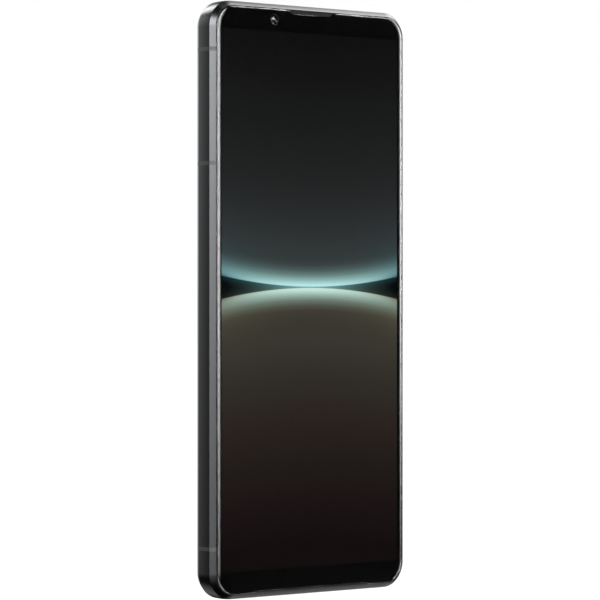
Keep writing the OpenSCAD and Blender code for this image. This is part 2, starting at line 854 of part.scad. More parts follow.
module coil_shield() {
    color("dimgray") upright() layer(ferrite_rear_z, battery_rear_z) plan_rect(
        [-coil_r - 1, coil_y - coil_r - 1], [coil_r + 1, coil_y + coil_r + 1], 3
    );
}

motor_y = sub_y1 - 3.2 - motor_box[1] / 2;
motor_z = board_z - motor_box[2] / 2;
module haptic_housing() {
    wall = [2 * motor_wall, 2 * motor_wall, 2 * motor_wall];
    color("silver") upright() translate([0, motor_y, motor_z]) difference() {
        cube(motor_box, center = true);
        cube(motor_box - wall, center = true);
    }
}

module haptic_mass() {
    color("gray") upright() translate([0, motor_y, motor_z]) cube(motor_mass, center = true);
}

module main_flex() {
    x0 = -battery_x + 0.5;
    x1 = x0 + 3.8;
    low = battery_y0 - 0.4;
    high = battery_y1 + 0.2;
    color("darkgoldenrod") upright() {
        block([x0, low, battery_rear_z - flex_t], [x1, high + flex_t, battery_rear_z]);
        block([x0, low, battery_rear_z - flex_t], [x1, low + flex_t, flex_z + flex_t]);
        block([x0, high, battery_rear_z - flex_t], [x1, high + flex_t, flex_z + flex_t]);
        block([x0, high, flex_z], [x1, main_y0 + 4, flex_z + flex_t]);
        ribbon_plug(x0, x1, main_y0 + 1.4, main_y0 + 4);
        ribbon_plug(x0, x1, sub_y1 - 2, low + flex_t);
    }
}

cable_x = cavity_x - 1.3;
cable_r = 0.4;
module antenna_cable() {
    ends = [sub_y1 - 1.6, main_y0 + 2];
    color("black") upright() {
        translate([-cable_x, ends[0], board_z - 1]) rotate([-90, 0, 0])
            cylinder(r = cable_r, h = ends[1] - ends[0]);
        for (y = ends) translate([-cable_x, y, board_z - 0.8]) cylinder(r = 1, h = 0.8);
    }
}

module screw_holes(bosses) {
    for (p = bosses) translate(p) circle(screw_r + barrel_gap);
}

module upper_bracket() {
    color("darkslategray") upright() layer(bracket_rear_z, bracket_front_z) difference() {
        plan_rect(
            [-cavity_x + board_side, main_y0 - 1],
            [cam_x - island_w / 2 - island_flange - 0.6, cavity_y1 - 0.6], board_corner
        );
        screw_holes(main_bosses);
    }
}

module lower_bracket() {
    color("darkslategray") upright() layer(bracket_rear_z, bracket_front_z) difference() {
        plan_rect(
            [-cavity_x + board_side, sub_y0], [cavity_x - board_side, sub_y1], board_corner
        );
        screw_holes(sub_bosses);
    }
}

module bracket_screws() {
    depth = 3.4;
    color("silver") upright() for (p = concat(main_bosses, sub_bosses))
        translate([p[0], p[1], bracket_rear_z - head_t]) {
            cylinder(r = head_r, h = head_t);
            cylinder(r = screw_r, h = head_t + bracket_t + depth);
        }
}

// A key: the part that passes through the wall, and the flange that keeps it in
module side_key(l, flange_l, outer_x) {
    bar_x(key_w, l, flange_x, outer_x);
    bar_x(key_w + 2 * flange_lap, flange_l, flange_x, flange_x + flange_t);
}

module volume_key() {
    color("dimgray") upright() translate([0, volume_y, key_z])
        side_key(volume_l, volume_flange, side_x + key_proud);
}

module power_key() {
    color("dimgray") upright() translate([0, power_y, key_z])
        side_key(power_l, power_l + 2 * flange_lap, side_x - finger_t);
}

module fingerprint_sensor() {
    color("black") upright() translate([0, power_y, key_z])
        bar_x(key_w, power_l, side_x - finger_t, side_x);
}

module shutter_key() {
    color("dimgray") upright() translate([0, shutter_y, key_z])
        side_key(shutter_l, shutter_l + 2 * flange_lap, side_x + key_proud);
}

module key_flex() {
    color("darkgoldenrod") upright() block(
        [key_wall_x - flex_t, shutter_y - shutter_l / 2, key_z - key_w / 2],
        [key_wall_x, volume_y + volume_l / 2, key_z + key_w / 2]
    );
}

module dome_switches() {
    color("gold") upright()
        for (y = [volume_y - volume_dome, volume_y + volume_dome, power_y, shutter_y])
            translate([key_wall_x, y, key_z]) rotate([0, 90, 0])
                cylinder(r1 = dome_r * 0.9, r2 = dome_r * 0.6, h = dome_t);
}

module sim_tray() {
    color("dimgray") upright() translate([tray_x, 0, tray_z]) difference() {
        union() {
            bar_y(door_w, door_h, 0, door_t);
            block([-tray_w / 2, door_t - 0.1, -tray_t / 2], [tray_w / 2, tray_l, tray_t / 2]);
        }
        block([-6.2, 3.6, -0.35], [6.2, 12.4, cut]);
        block([-5.6, 13.2, -0.35], [5.6, 22.4, cut]);
    }
}

module sim_tray_seal() {
    color("gray") upright() translate([tray_x, 0, tray_z]) difference() {
        bar_y(door_w - 0.2, door_h - 0.2, door_t, door_t + seal_t);
        block([-tray_w / 2, 0, -tray_t / 2], [tray_w / 2, tray_l, tray_t / 2]);
    }
}

module tray_reader() {
    inner_x = tray_w / 2 + tray_gap;
    inner_z = tray_t / 2 + tray_gap;
    color("silver") upright() difference() {
        block(
            [tray_x - reader_w / 2, cavity_y0 + 0.5, tray_z - inner_z - reader_wall],
            [tray_x + reader_w / 2, reader_y1, board_z]
        );
        block(
            [tray_x - inner_x, 0, tray_z - inner_z],
            [tray_x + inner_x, reader_y1 - reader_wall, tray_z + inner_z]
        );
    }
}

module rear_glass() {
    color("black") upright() layer(rear_z, rear_in_z) difference() {
        outline(glass_inset);
        translate([cam_x, island_y]) pill(island_w + 2 * glass_gap, island_l + 2 * glass_gap);
    }
}

module rear_adhesive() {
    color("dimgray") upright() layer(rear_in_z, rear_ledge_z) difference() {
        outline(glass_inset + seat_gap);
        outline(frame_wall - seat_gap);
    }
}

module camera_trim() {
    color("dimgray") upright() difference() {
        translate([cam_x, island_y]) {
            layer(island_z, flange_z) pill(island_w, island_l);
            layer(rear_in_z, flange_z)
                pill(island_w + 2 * island_flange, island_l + 2 * island_flange);
        }
        translate([cam_x, island_y]) layer(island_z - cut, island_glass_z)
            pill(island_w - 2 * island_rim, island_l - 2 * island_rim);
        for (y = lens_ys) translate([cam_x, y, island_z])
            cylinder(r = lens_hole_r, h = body_t / 2);
        translate([flash_p[0], flash_p[1], island_z]) cylinder(r = flash_r, h = body_t / 2);
        translate([rear_mic_p[0], rear_mic_p[1], island_z]) cylinder(r = mic_r, h = body_t / 2);
    }
}

module camera_glass() {
    color("black") upright() layer(island_z + 0.1, island_glass_z) difference() {
        translate([cam_x, island_y]) pill(
            island_w - 2 * island_rim - 2 * glass_gap, island_l - 2 * island_rim - 2 * glass_gap
        );
        translate(flash_p) circle(flash_r);
        translate(rear_mic_p) circle(mic_r);
    }
}

module camera_housings() {
    color("gray") upright() for (i = [0:2]) translate([cam_x, lens_ys[i], 0]) difference() {
        layer(housing_z, plate_z) square(module_sides[i], center = true);
        translate([0, 0, housing_z - cut])
            cylinder(r = barrel_rs[i] + barrel_gap, h = sensor_z - 0.7 - housing_z + cut);
        layer(sensor_z - 1, sensor_z + 0.3) square(module_sides[i] - 2, center = true);
    }
}

module image_sensors() {
    color("purple") upright() for (i = [0:2]) translate([cam_x, lens_ys[i], 0])
        layer(sensor_z, sensor_z + 0.3) square(module_sides[i] - 2, center = true);
}

// A lens barrel with its glass; it slides towards the island to focus
module barrel(i) {
    front = sensor_z - 0.9;
    translate([cam_x, lens_ys[i], 0]) difference() {
        layer(barrel_rear_z, front) circle(barrel_rs[i]);
        translate([0, 0, barrel_rear_z - cut]) cylinder(r = barrel_rs[i] - 0.6, h = cut + 0.5);
    }
}

module ultrawide_barrel() {
    color("black") upright() barrel(0);
}

module wide_barrel() {
    color("black") upright() barrel(1);
}

module tele_barrel() {
    color("black") upright() barrel(2);
}

module flash_led() {
    color("yellow") upright() translate([flash_p[0], flash_p[1], flange_z - 0.6])
        cylinder(r = flash_r - seat_gap, h = 0.6);
}

module flash_lens() {
    color("white") upright() translate([flash_p[0], flash_p[1], island_z + 0.1])
        cylinder(r = flash_r - glass_gap, h = flange_z - 0.6 - island_z - 0.1);
}

mid_frame();
antenna_breaks();
cover_glass();
display_adhesive();
display_panel();
display_backing();
display_flex();
earpiece_mesh();
earpiece_speaker();
earpiece_cone();
front_camera();
front_camera_lens();
proximity_sensor();
loudspeaker_box();
loudspeaker_cone();
loudspeaker_mesh();
main_board();
board_shields();
board_chips();
thermal_pad();
graphite_sheet();
sub_board();
usb_receptacle();
usb_tongue();
usb_seal();
audio_jack();
audio_jack_seal();
microphones();
battery_cell();
battery_board();
battery_adhesive();
charging_coil();
coil_shield();
haptic_housing();
haptic_mass();
main_flex();
antenna_cable();
upper_bracket();
lower_bracket();
bracket_screws();
volume_key();
power_key();
fingerprint_sensor();
shutter_key();
key_flex();
dome_switches();
sim_tray();
sim_tray_seal();
tray_reader();
rear_glass();
rear_adhesive();
camera_trim();
camera_glass();
camera_housings();
image_sensors();
ultrawide_barrel();
wide_barrel();
tele_barrel();
flash_led();
flash_lens();
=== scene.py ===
import math

import bmesh
import bpy
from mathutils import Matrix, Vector


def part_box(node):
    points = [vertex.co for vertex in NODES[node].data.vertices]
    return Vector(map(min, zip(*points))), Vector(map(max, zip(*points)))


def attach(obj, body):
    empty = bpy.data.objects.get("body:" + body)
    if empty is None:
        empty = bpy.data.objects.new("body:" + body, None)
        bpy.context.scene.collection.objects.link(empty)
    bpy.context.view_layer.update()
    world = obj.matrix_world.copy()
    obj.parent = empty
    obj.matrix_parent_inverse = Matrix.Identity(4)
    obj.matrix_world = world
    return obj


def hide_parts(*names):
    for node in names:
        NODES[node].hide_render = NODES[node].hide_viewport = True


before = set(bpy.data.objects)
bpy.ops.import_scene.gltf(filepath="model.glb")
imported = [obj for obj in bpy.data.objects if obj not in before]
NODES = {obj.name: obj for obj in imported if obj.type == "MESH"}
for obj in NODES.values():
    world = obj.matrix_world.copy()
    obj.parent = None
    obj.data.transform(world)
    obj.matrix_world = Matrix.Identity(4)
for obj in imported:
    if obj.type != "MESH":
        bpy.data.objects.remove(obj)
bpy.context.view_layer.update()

bl_info = {
    "name": "Tall-screen handset",
    "version": (1, 0, 0),
    "blender": (4, 5, 0),
    "location": "View3D > Sidebar > Handset",
    "description": "Builds the finished look of a slim handset around its packed frame",
    "category": "Add Mesh",
}

MM = 0.001
X_AXIS = Vector((1, 0, 0))
Y_AXIS = Vector((0, 1, 0))
Z_AXIS = Vector((0, 0, 1))
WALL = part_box("mid_frame")
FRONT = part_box("cover_glass")
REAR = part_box("rear_glass")
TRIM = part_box("camera_trim")
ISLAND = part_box("camera_glass")
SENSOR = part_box("fingerprint_sensor")
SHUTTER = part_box("shutter_key")
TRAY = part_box("sim_tray")
MIDDLE = Vector((0, 0, (WALL[0].z + WALL[1].z) / 2))
DEGREE = math.degrees(1)
CLEAR = 1 * MM  # how far a cutter reaches past what it cuts
SAME = 0.001 * MM  # points that are closer than this are one

# The part of each key that fills its opening. The shutter key's box also holds a longer flange.
SHUTTER_LAP = Z_AXIS * 0.45 * MM
CROWNS = {
    "volume_key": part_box("volume_key"), "power_key": SENSOR,
    "shutter_key": (SHUTTER[0] + SHUTTER_LAP, SHUTTER[1] - SHUTTER_LAP),
}
KEY_WIDTH = SENSOR[1].y - SENSOR[0].y
DOOR_HEIGHT = TRAY[1].y - TRAY[0].y
TRAY_HALF = Vector((7.5, 0.55)) * MM  # half of the card tray's width and thickness

LENSES = ("ultrawide_barrel", "wide_barrel", "tele_barrel")


# ---------------------------------------------------------------- settings

def linear(red, green, blue):
    """A screen colour, 0 to 255, as the light it stands for."""
    return tuple(
        (c / 255 / 12.92) if c <= 10 else ((c / 255 + 0.055) / 1.055) ** 2.4
        for c in (red, green, blue)
    )


def size(name, description, millimetres):
    """A length setting with its default in millimetres."""
    return bpy.props.FloatProperty(
        name=name, description=description, default=millimetres * MM, min=0,
        unit="LENGTH", subtype="DISTANCE", precision=5,
    )


def tint(name, description, red, green, blue):
    """A colour setting with its default as a screen colour."""
    return bpy.props.FloatVectorProperty(
        name=name, description=description, default=linear(red, green, blue), size=3,
        subtype="COLOR", min=0, max=1,
    )


def amount(name, description, value, high=1.0):
    """A plain number setting from 0 up."""
    return bpy.props.FloatProperty(
        name=name, description=description, default=value, min=0, max=high
    )


class FrameSettings(bpy.types.PropertyGroup):
    """Sizes and finish of the metal side frame"""

    corner: size("Corner", "Outer corner radius seen from the front", 7)
    wall: size("Wall", "Wall thickness", 2.6)
    front_across: size("Front bevel across", "Front bevel across the face", 1.26)
    front_drop: size("Front bevel depth", "Front bevel through the thickness", 1.3)
    rear_across: size("Rear bevel across", "Rear bevel across the face", 1.2)
    rear_drop: size("Rear bevel depth", "Rear bevel through the thickness", 1.9)
    pocket: size("Pocket", "Inset of the two glass pockets", 1.37)
    front_ledge: size("Front ledge", "Depth of the front pocket from the glass face", 0.75)
    rear_ledge: size("Rear ledge", "Depth of the rear pocket from the glass face", 0.75)
    edge: size("Edge", "Radius between the side wall and its bevels", 0.14)
    crown: size("Crown", "How far the middle of the side wall stands out", 0.08)
    bevel_crown: size("Bevel crown", "How far the middle of the bevels stands out", 0.024)
    break_width: size("Antenna break", "Width of each plastic break in the wall", 1.04)
    break_top: size("Top breaks", "Distance of the top breaks from the top edge", 12.9)
    break_mid: size("Middle break", "Distance of the middle break from the top edge", 42.5)
    break_bottom: size("Bottom breaks", "Distance of the bottom breaks from the bottom", 13.4)
    mic: size("Microphone hole", "Radius of the microphone holes", 0.45)
    metal: tint("Metal", "Colour of the anodised metal", 60, 61, 62)
    insert: tint("Inserts", "Colour of the antenna breaks", 24, 25, 26)


class GlassSettings(bpy.types.PropertyGroup):
    """Sizes and finish of both glasses"""

    rim: size("Rim", "Width of the curved edge of the cover glass", 1.8)
    rim_drop: size("Rim drop", "Depth of the curved edge of the cover glass", 0.35)
    notch_top: size("Notch at edge", "Half width of the earpiece notch at the glass edge", 7.9)
    notch_floor: size("Notch floor", "Half width of the earpiece notch at its floor", 6.6)
    notch_depth: size("Notch depth", "Depth of the earpiece notch", 1.05)
    slit_half: size("Slit half width", "Half width of the loudspeaker slit", 19.2)
    slit_depth: size("Slit depth", "Depth of the loudspeaker slit", 0.5)
    rear_rim: size("Rear rim", "Width of the curved edge of the rear glass", 0.5)
    rear_colour: tint("Rear colour", "Colour of the frosted rear glass", 38, 39, 41)


class ScreenSettings(bpy.types.PropertyGroup):
    """Sizes and colours of the picture on the screen"""

    half_width: size("Half width", "Half width of the lit area", 30.3)
    half_height: size("Half height", "Half height of the lit area", 70.7)
    upper_arc: size("Upper arc", "Height of the upper arc in the middle", 81.55)
    lower_arc: size("Lower arc", "Height of the lower arc in the middle", 81.2)
    upper_radius: size("Upper radius", "Radius of the upper arc", 162)
    lower_radius: size("Lower radius", "Radius of the lower arc", 155)
    strength: amount("Strength", "Brightness of the picture", 1.08, 4)


class StageSettings(bpy.types.PropertyGroup):
    """Camera, floor and studio lights"""

    distance: size("Camera distance", "Distance of the camera from the handset", 809.9)
    azimuth: bpy.props.FloatProperty(
        name="Azimuth", description="How far the camera stands to the left of the screen",
        default=math.radians(39.675), subtype="ANGLE",
    )
    lens: bpy.props.FloatProperty(
        name="Lens", description="Focal length on a 36 mm sensor", default=182.3, unit="CAMERA"
    )
    shift: bpy.props.FloatProperty(
        name="Shift", description="Sideways shift of the picture", default=-0.0038
    )
    # Away from the handset the floor glows white. Near it the glow is dimmer, a painted shade.
    floor: tint("Floor", "Colour of the floor, which glows white by itself", 40, 40, 40)
    clearance: size("Clearance", "Room under the handset for the open card tray", 40)
    surround: amount("Surround", "Light of the dark room between the panels", 0.02)


# ---------------------------------------------------------------- shapes

def fillet(points, radii, steps=4):
    """Closed outline of 2D points with an arc of the given radius at each corner."""
    outline = []
    for i, point in enumerate(points):
        corner = Vector(point)
        back = (Vector(points[i - 1]) - corner).normalized()
        ahead = (Vector(points[(i + 1) % len(points)]) - corner).normalized()
        if not radii[i]:
            outline.append(corner)
            continue
        half = back.angle(ahead) / 2
        centre = corner + (back + ahead).normalized() * radii[i] / math.sin(half)
        first = corner + back * radii[i] / math.tan(half) - centre
        last = corner + ahead * radii[i] / math.tan(half) - centre
        for k in range(steps + 1):
            turn = k / steps
            bend = first.normalized().slerp(last.normalized(), turn)
            outline.append(centre + bend * radii[i])
    return outline


def stations(low, high, radius, steps=24):
    """Corner centres and outward normals round an upright rounded rectangle, at y = 0."""
    found = []
    for corner, (x, z) in enumerate([
        (high[0] - radius, high[1] - radius), (low[0] + radius, high[1] - radius),
        (low[0] + radius, low[1] + radius), (high[0] - radius, low[1] + radius),
    ]):
        for k in range(steps + 1):
            angle = math.radians(90) * (corner + k / steps)
            found.append((Vector((x, 0, z)), Vector((math.cos(angle), 0, math.sin(angle)))))
    return found


def loop_at(places, radius, inset=0.0, depth=0.0):
    """The outline that passes the stations at one inset and depth."""
    return [centre + normal * (radius - inset) + Y_AXIS * depth for centre, normal in places]


def join_rings(shape, rings, closed=False):
    """Quads between rings of vertices with equal counts."""
    pairs = list(zip(rings, rings[1:] + rings[:1])) if closed else list(zip(rings, rings[1:]))
    for one, other in pairs:
        for i in range(len(one)):
            k = (i + 1) % len(one)
            shape.faces.new((one[i], one[k], other[k], other[i]))


def sweep(profile, places, radius):
    """A section of (inset, depth) points carried round the stations."""
    shape = bmesh.new()
    rings = [
        [shape.verts.new(p) for p in loop_at(places, radius, inset, depth)]
        for inset, depth in profile
    ]
    join_rings(shape, rings, closed=True)
    return shape


def stack(levels):
    """A closed solid through outlines with equal counts of points."""
    shape = bmesh.new()
    rings = [[shape.verts.new(p) for p in level] for level in levels]
    join_rings(shape, rings)
    shape.faces.new(rings[0])
    shape.faces.new(rings[-1])
    return shape


def quarter(steps):
    """Even angles from 0 to 90 degrees."""
    return [math.radians(90) * k / steps for k in range(steps + 1)]


def edge_levels(start, end, round_start, round_end, steps=4):
    """(place, inset) pairs from start to end, with rounded edges."""
    sign = 1 if end > start else -1

    def rounded(place, radius):
        """From the full outline to the end face, whose edge has a radius."""
        if not radius:
            return [(place, 0.0)]
        return [
            (place + radius * (1 - math.sin(a)), abs(radius) * (1 - math.cos(a)))
            for a in quarter(steps)
        ]

    return rounded(start, sign * round_start)[::-1] + rounded(end, -sign * round_end)


def pill_loop(centre, along, across, length, width, steps=12):
    """Outline of a long round-ended shape, whose length takes in both ends."""
    reach = max(length - width, 0) / 2
    points = []
    for end in (1, -1):
        for k in range(steps + 1):
            angle = math.pi * k / steps
            points.append(
                centre + along * end * (reach + math.sin(angle) * width / 2)
                + across * end * math.cos(angle) * width / 2
            )
    return points


def pill_solid(centre, along, across, axis, length, width, levels):
    """A long round-ended solid through (place, inset) levels along an axis."""
    return stack([
        pill_loop(centre + axis * place, along, across, length - 2 * inset, width - 2 * inset)
        for place, inset in levels
    ])


def turned(profile, centre, axis, steps=48):
    """A solid turned round an axis from (radius, place) points; a radius of 0 closes an end."""
    side = axis.orthogonal().normalized()
    other = axis.cross(side)
    shape = bmesh.new()
    rings = []
    for radius, place in profile:
        if radius == 0:
            rings.append([shape.verts.new(centre + axis * place)])
            continue
        rings.append([
            shape.verts.new(
                centre + axis * place
                + (side * math.cos(a) + other * math.sin(a)) * radius
            )
            for a in (2 * math.pi * k / steps for k in range(steps))
        ])
    for one, two in zip(rings, rings[1:]):
        for k in range(steps):
            n = (k + 1) % steps
            if len(one) == 1:
                shape.faces.new((one[0], two[n], two[k]))
            elif len(two) == 1:
                shape.faces.new((one[k], one[n], two[0]))
            else:
                shape.faces.new((one[k], one[n], two[n], two[k]))
    return shape


def offset(loop, distances):
    """A closed outline of 2D points, anticlockwise, drawn in by a distance at each point."""
    moved = []
    for i, point in enumerate(loop):
        before = (point - loop[i - 1]).normalized()
        after = (loop[(i + 1) % len(loop)] - point).normalized()
        one = Vector((-before.y, before.x))
        two = Vector((-after.y, after.x))
        moved.append(point + (one + two) / (1 + one.dot(two)) * distances[i])
    return moved


def circle(x, z, radius, steps=48):
    """2D points round a centre."""
    return [
        Vector((x + radius * math.cos(a), z + radius * math.sin(a)))
        for a in (2 * math.pi * k / steps for k in range(steps))
    ]


def upright(loop, depth):
    """2D points stood up at one depth, or at a depth for each."""
    depths = depth if isinstance(depth, list) else [depth] * len(loop)
    return [Vector((p[0], d, p[1])) for p, d in zip(loop, depths)]


def through(loop, *depths):
    """One outline stood up at several depths."""
    return [upright(loop, depth) for depth in depths]


def fill(shape, rings):
    """Closes the area between an outer ring and the holes inside it."""
    edges = []
    for ring in rings:
        for i, vertex in enumerate(ring):
            pair = (ring[i - 1], vertex)
            edges.append(shape.edges.get(pair) or shape.edges.new(pair))
    bmesh.ops.triangle_fill(shape, edges=edges, use_beauty=True)


def plate(levels, holes=()):
    """A solid through outlines, with straight holes from its first level to its last."""
    shape = bmesh.new()
    rings = [[shape.verts.new(p) for p in level] for level in levels]
    join_rings(shape, rings)
    ends = [[rings[0]], [rings[-1]]]
    for near, far in holes:
        pair = [[shape.verts.new(p) for p in loop] for loop in (near, far)]
        join_rings(shape, pair)
        ends[0].append(pair[0])
        ends[1].append(pair[1])
    for end in ends:
        fill(shape, end)
    return shape


def crowned_levels(loop, widths, drops, face, back, steps=8):
    """Outlines of a glass from its back to its face, with a curved rim."""
    sign = 1 if face > back else -1
    chamfer = 0.05 * MM
    levels = [upright(offset(loop, [chamfer] * len(loop)), back)]
    levels.append(upright(loop, back + sign * chamfer))
    for angle in quarter(steps):
        inset = [w * (1 - math.cos(angle)) for w in widths]
        depth = [face - sign * d * (1 - math.sin(angle)) for d in drops]
        levels.append(upright(offset(loop, inset), depth))
    return levels


def perforated(columns, rows, pitch, hole, place, thickness, sides=8):
    """A thin sheet with a grid of round holes, set by a function of across and along."""
    shape = bmesh.new()
    ring = circle(0, 0, 1, sides)
    for i in range(columns):
        for j in range(rows):
            middle = Vector((i - (columns - 1) / 2, j - (rows - 1) / 2)) * pitch
            edge = [middle + r / max(abs(r.x), abs(r.y)) * pitch / 2 for r in ring]
            mouth = [middle + r * hole for r in ring]
            outer = [shape.verts.new(place(p)) for p in edge]
            inner = [shape.verts.new(place(p)) for p in mouth]
            for k in range(sides):
                n = (k + 1) % sides
                shape.faces.new((outer[k], outer[n], inner[n], inner[k]))
    bmesh.ops.remove_doubles(shape, verts=shape.verts, dist=SAME)
    raised = bmesh.ops.extrude_face_region(shape, geom=list(shape.faces), use_keep_orig=True)
    moved = [g for g in raised["geom"] if isinstance(g, bmesh.types.BMVert)]
    bmesh.ops.translate(shape, verts=moved, vec=thickness)
    return shape


def box_solid(low, high):
    """A closed box between two corners."""
    corners = [(low[0], low[2]), (high[0], low[2]), (high[0], high[2]), (low[0], high[2])]
    return stack([[Vector((x, y, z)) for x, z in corners] for y in (low[1], high[1])])


def node_shape(node):
    """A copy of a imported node's mesh, with its flat faces whole again."""
    shape = bmesh.new()
    shape.from_mesh(NODES[node].data)
    bmesh.ops.remove_doubles(shape, verts=shape.verts, dist=2 * SAME)
    bmesh.ops.dissolve_limit(
        shape, angle_limit=math.radians(0.5), use_dissolve_boundaries=False,
        verts=shape.verts, edges=shape.edges,
    )
    return shape


def softened(shape, width, segments=3, above=35):
    """Rounds the edges that turn more sharply than an angle in degrees."""
    sharp = [
        e for e in shape.edges
        if e.is_manifold and e.calc_face_angle(0) > math.radians(above)
    ]
    bmesh.ops.bevel(
        shape, geom=sharp, offset=width, segments=segments, profile=0.5, affect="EDGES",
        clamp_overlap=True,
    )
    return shape


def temporary(shape):
    """A short-lived object that holds a shape."""
    bmesh.ops.recalc_face_normals(shape, faces=shape.faces)
    mesh = bpy.data.meshes.new("temporary")
    shape.to_mesh(mesh)
    shape.free()
    item = bpy.data.objects.new("temporary", mesh)
    bpy.context.scene.collection.objects.link(item)
    return item


def combine(shape, tools, operation="DIFFERENCE"):
    """The shape after a Boolean operation with each tool in turn."""
    items = [temporary(shape)] + [temporary(tool) for tool in tools]
    for item in items[1:]:
        step = items[0].modifiers.new("Cut", "BOOLEAN")
        step.operation = operation
        step.solver = "EXACT"
        step.object = item
    bpy.context.view_layer.update()
    result = bmesh.new()
    result.from_object(items[0], bpy.context.evaluated_depsgraph_get())
    for item in items:
        mesh = item.data
        bpy.data.objects.remove(item)
        bpy.data.meshes.remove(mesh)
    if not result.faces:
        raise RuntimeError("a Boolean operation left nothing")
    return result


def dome(radius, crest, sag, seat, steps=8):
    """Profile of a domed lens, from the middle of its face round to its flat back."""
    face = [(radius * math.sin(a), crest - sag * (1 - math.cos(a))) for a in quarter(steps)]
    return face + [(radius, seat), (0, seat)]


def merge(*shapes):
    """Several separate solids as one mesh."""
    whole = bmesh.new()
    for shape in shapes:
        mesh = bpy.data.meshes.new("part")
        bmesh.ops.recalc_face_normals(shape, faces=shape.faces)
        shape.to_mesh(mesh)
        shape.free()
        whole.from_mesh(mesh)
        bpy.data.meshes.remove(mesh)
    return whole


def piece(name, shape, material, replaces=(), body="handset", sharp=32):
    """Makes a finished piece of a shape and joins it to the frame."""
    bmesh.ops.remove_doubles(shape, verts=shape.verts, dist=SAME / 5)
    bmesh.ops.dissolve_degenerate(shape, edges=shape.edges, dist=SAME / 5)
    bmesh.ops.recalc_face_normals(shape, faces=shape.faces)
    mesh = bpy.data.meshes.new(name)
    shape.to_mesh(mesh)
    shape.free()
    mesh.shade_smooth()
    mesh.set_sharp_from_angle(angle=math.radians(sharp))
    item = bpy.data.objects.new(name, mesh)
    bpy.context.scene.collection.objects.link(item)
    mesh.materials.append(material)
    weigh = item.modifiers.new("Even shading", "WEIGHTED_NORMAL")
    weigh.keep_sharp = True
    weigh.weight = 100
    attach(item, body)
    if replaces:
        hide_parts(*replaces)
    return item


# ---------------------------------------------------------------- materials

class Value:
    """A number that varies over a surface, written into Python sums."""

    def __init__(self, paint, socket):
        self.paint = paint
        self.socket = socket

    def _sum(self, operation, *terms):
        return self.paint.node("ShaderNodeMath", {"operation": operation}, dict(enumerate(terms)))

    def __add__(self, other):
        return self._sum("ADD", self, other)

    __radd__ = __add__

    def __sub__(self, other):
        return self._sum("SUBTRACT", self, other)

    def __rsub__(self, other):
        return self._sum("SUBTRACT", other, self)

    def __mul__(self, other):
        return self._sum("MULTIPLY", self, other)

    __rmul__ = __mul__

    def __truediv__(self, other):
        return self._sum("DIVIDE", self, other)

    def __rtruediv__(self, other):
        return self._sum("DIVIDE", other, self)

    def __pow__(self, other):
        return self._sum("POWER", self, other)

    def __rpow__(self, other):
        return self._sum("POWER", other, self)

    def __abs__(self):
        return self._sum("ABSOLUTE", self)

    def above(self, limit, blur):
        """0 below a limit and 1 above it, with a soft step."""
        return self.paint.node(
            "ShaderNodeMapRange", {"interpolation_type": "SMOOTHSTEP"},
            {0: self, 1: limit - blur, 2: limit + blur, 3: 0.0, 4: 1.0},
        )


class Paint:
    """A material, or the surround's light, under construction."""

    def __init__(self, name, owners=None):
        self.owner = (bpy.data.materials if owners is None else owners).new(name)
        self.owner.use_nodes = True
        self.tree = self.owner.node_tree
        self.tree.nodes.clear()

    def node(self, kind, settings=None, sockets=None, output=0):
        """Any node: its settings come first, then the values or links of its sockets."""
        made = self.tree.nodes.new(kind)
        for name, value in (settings or {}).items():
            if name == "stops":
                self._stops(made.color_ramp, value)
            else:
                setattr(made, name, value)
        for name, value in (sockets or {}).items():
            target = made.inputs[name]
            if isinstance(value, Value):
                self.tree.links.new(value.socket, target)
            elif isinstance(value, tuple) and target.type == "RGBA":
                target.default_value = (*value[:3], 1)
            else:
                target.default_value = value
        return Value(self, made.outputs[output]) if len(made.outputs) else made

    @staticmethod
    def _stops(ramp, stops):
        while len(ramp.elements) < len(stops):
            ramp.elements.new(1)
        for element, (place, colour) in zip(ramp.elements, stops):
            element.position = place
            element.color = (*colour, 1)

    def place(self):
        """Where a point lies on the handset."""
        return self.node("ShaderNodeTexCoord", output="Object")

    def axis(self, at, index):
        """One coordinate of a place: 0 is X, 1 is Y and 2 is Z."""
        return self.node("ShaderNodeSeparateXYZ", None, {0: at}, output=index)

    def noise(self, at, scale, detail=2.0):
        """Noise from 0 to 1, with a scale in waves per metre."""
        return self.node(
            "ShaderNodeTexNoise", None, {"Vector": at, "Scale": scale, "Detail": detail}
        )

    def mix(self, factor, one, two):
        """A colour between two, all of the second where the factor is 1."""
        return self.node(
            "ShaderNodeMix", {"data_type": "RGBA"}, {0: factor, 6: one, 7: two}, output=2
        )

    def relief(self, height, depth):
        """Bumps for the Normal socket, from heights of 0 to 1 and a depth in metres."""
        return self.node(
            "ShaderNodeBump", None, {"Strength": 1.0, "Distance": depth, "Height": height}
        )

    def finish(self, sockets):
        """The material, once its surface has these values or links."""
        surface = self.node("ShaderNodeBsdfPrincipled", None, sockets)
        self.node("ShaderNodeOutputMaterial", None, {"Surface": surface})
        return self.owner


def grained(name, colour, roughness, metallic=0.0, drift=0.14, grain=6000.0, depth=0.002,
            spread=0.2, stretch=(1, 1, 1), **fixed):
    """A finish with fine grain: tone and roughness drift, and the grain stands in relief."""
    paint = Paint(name)
    at = paint.node("ShaderNodeMapping", None, {"Vector": paint.place(), "Scale": stretch})
    broad = paint.noise(at, 55.0)
    fine = paint.noise(at, grain, 3.0)
    dark = tuple(c * (1 - drift) for c in colour)
    light = tuple(min(c * (1 + drift), 1) for c in colour)
    sockets = {
        "Base Color": paint.mix(0.7 * broad + 0.3 * fine, dark, light),
        "Roughness": roughness * (1 - spread / 2 + spread * (0.5 * broad + 0.5 * fine)),
        "Metallic": metallic,
        "Normal": paint.relief(fine, depth * MM),
    }
    sockets.update({key.replace("_", " "): value for key, value in fixed.items()})
    return paint.finish(sockets)


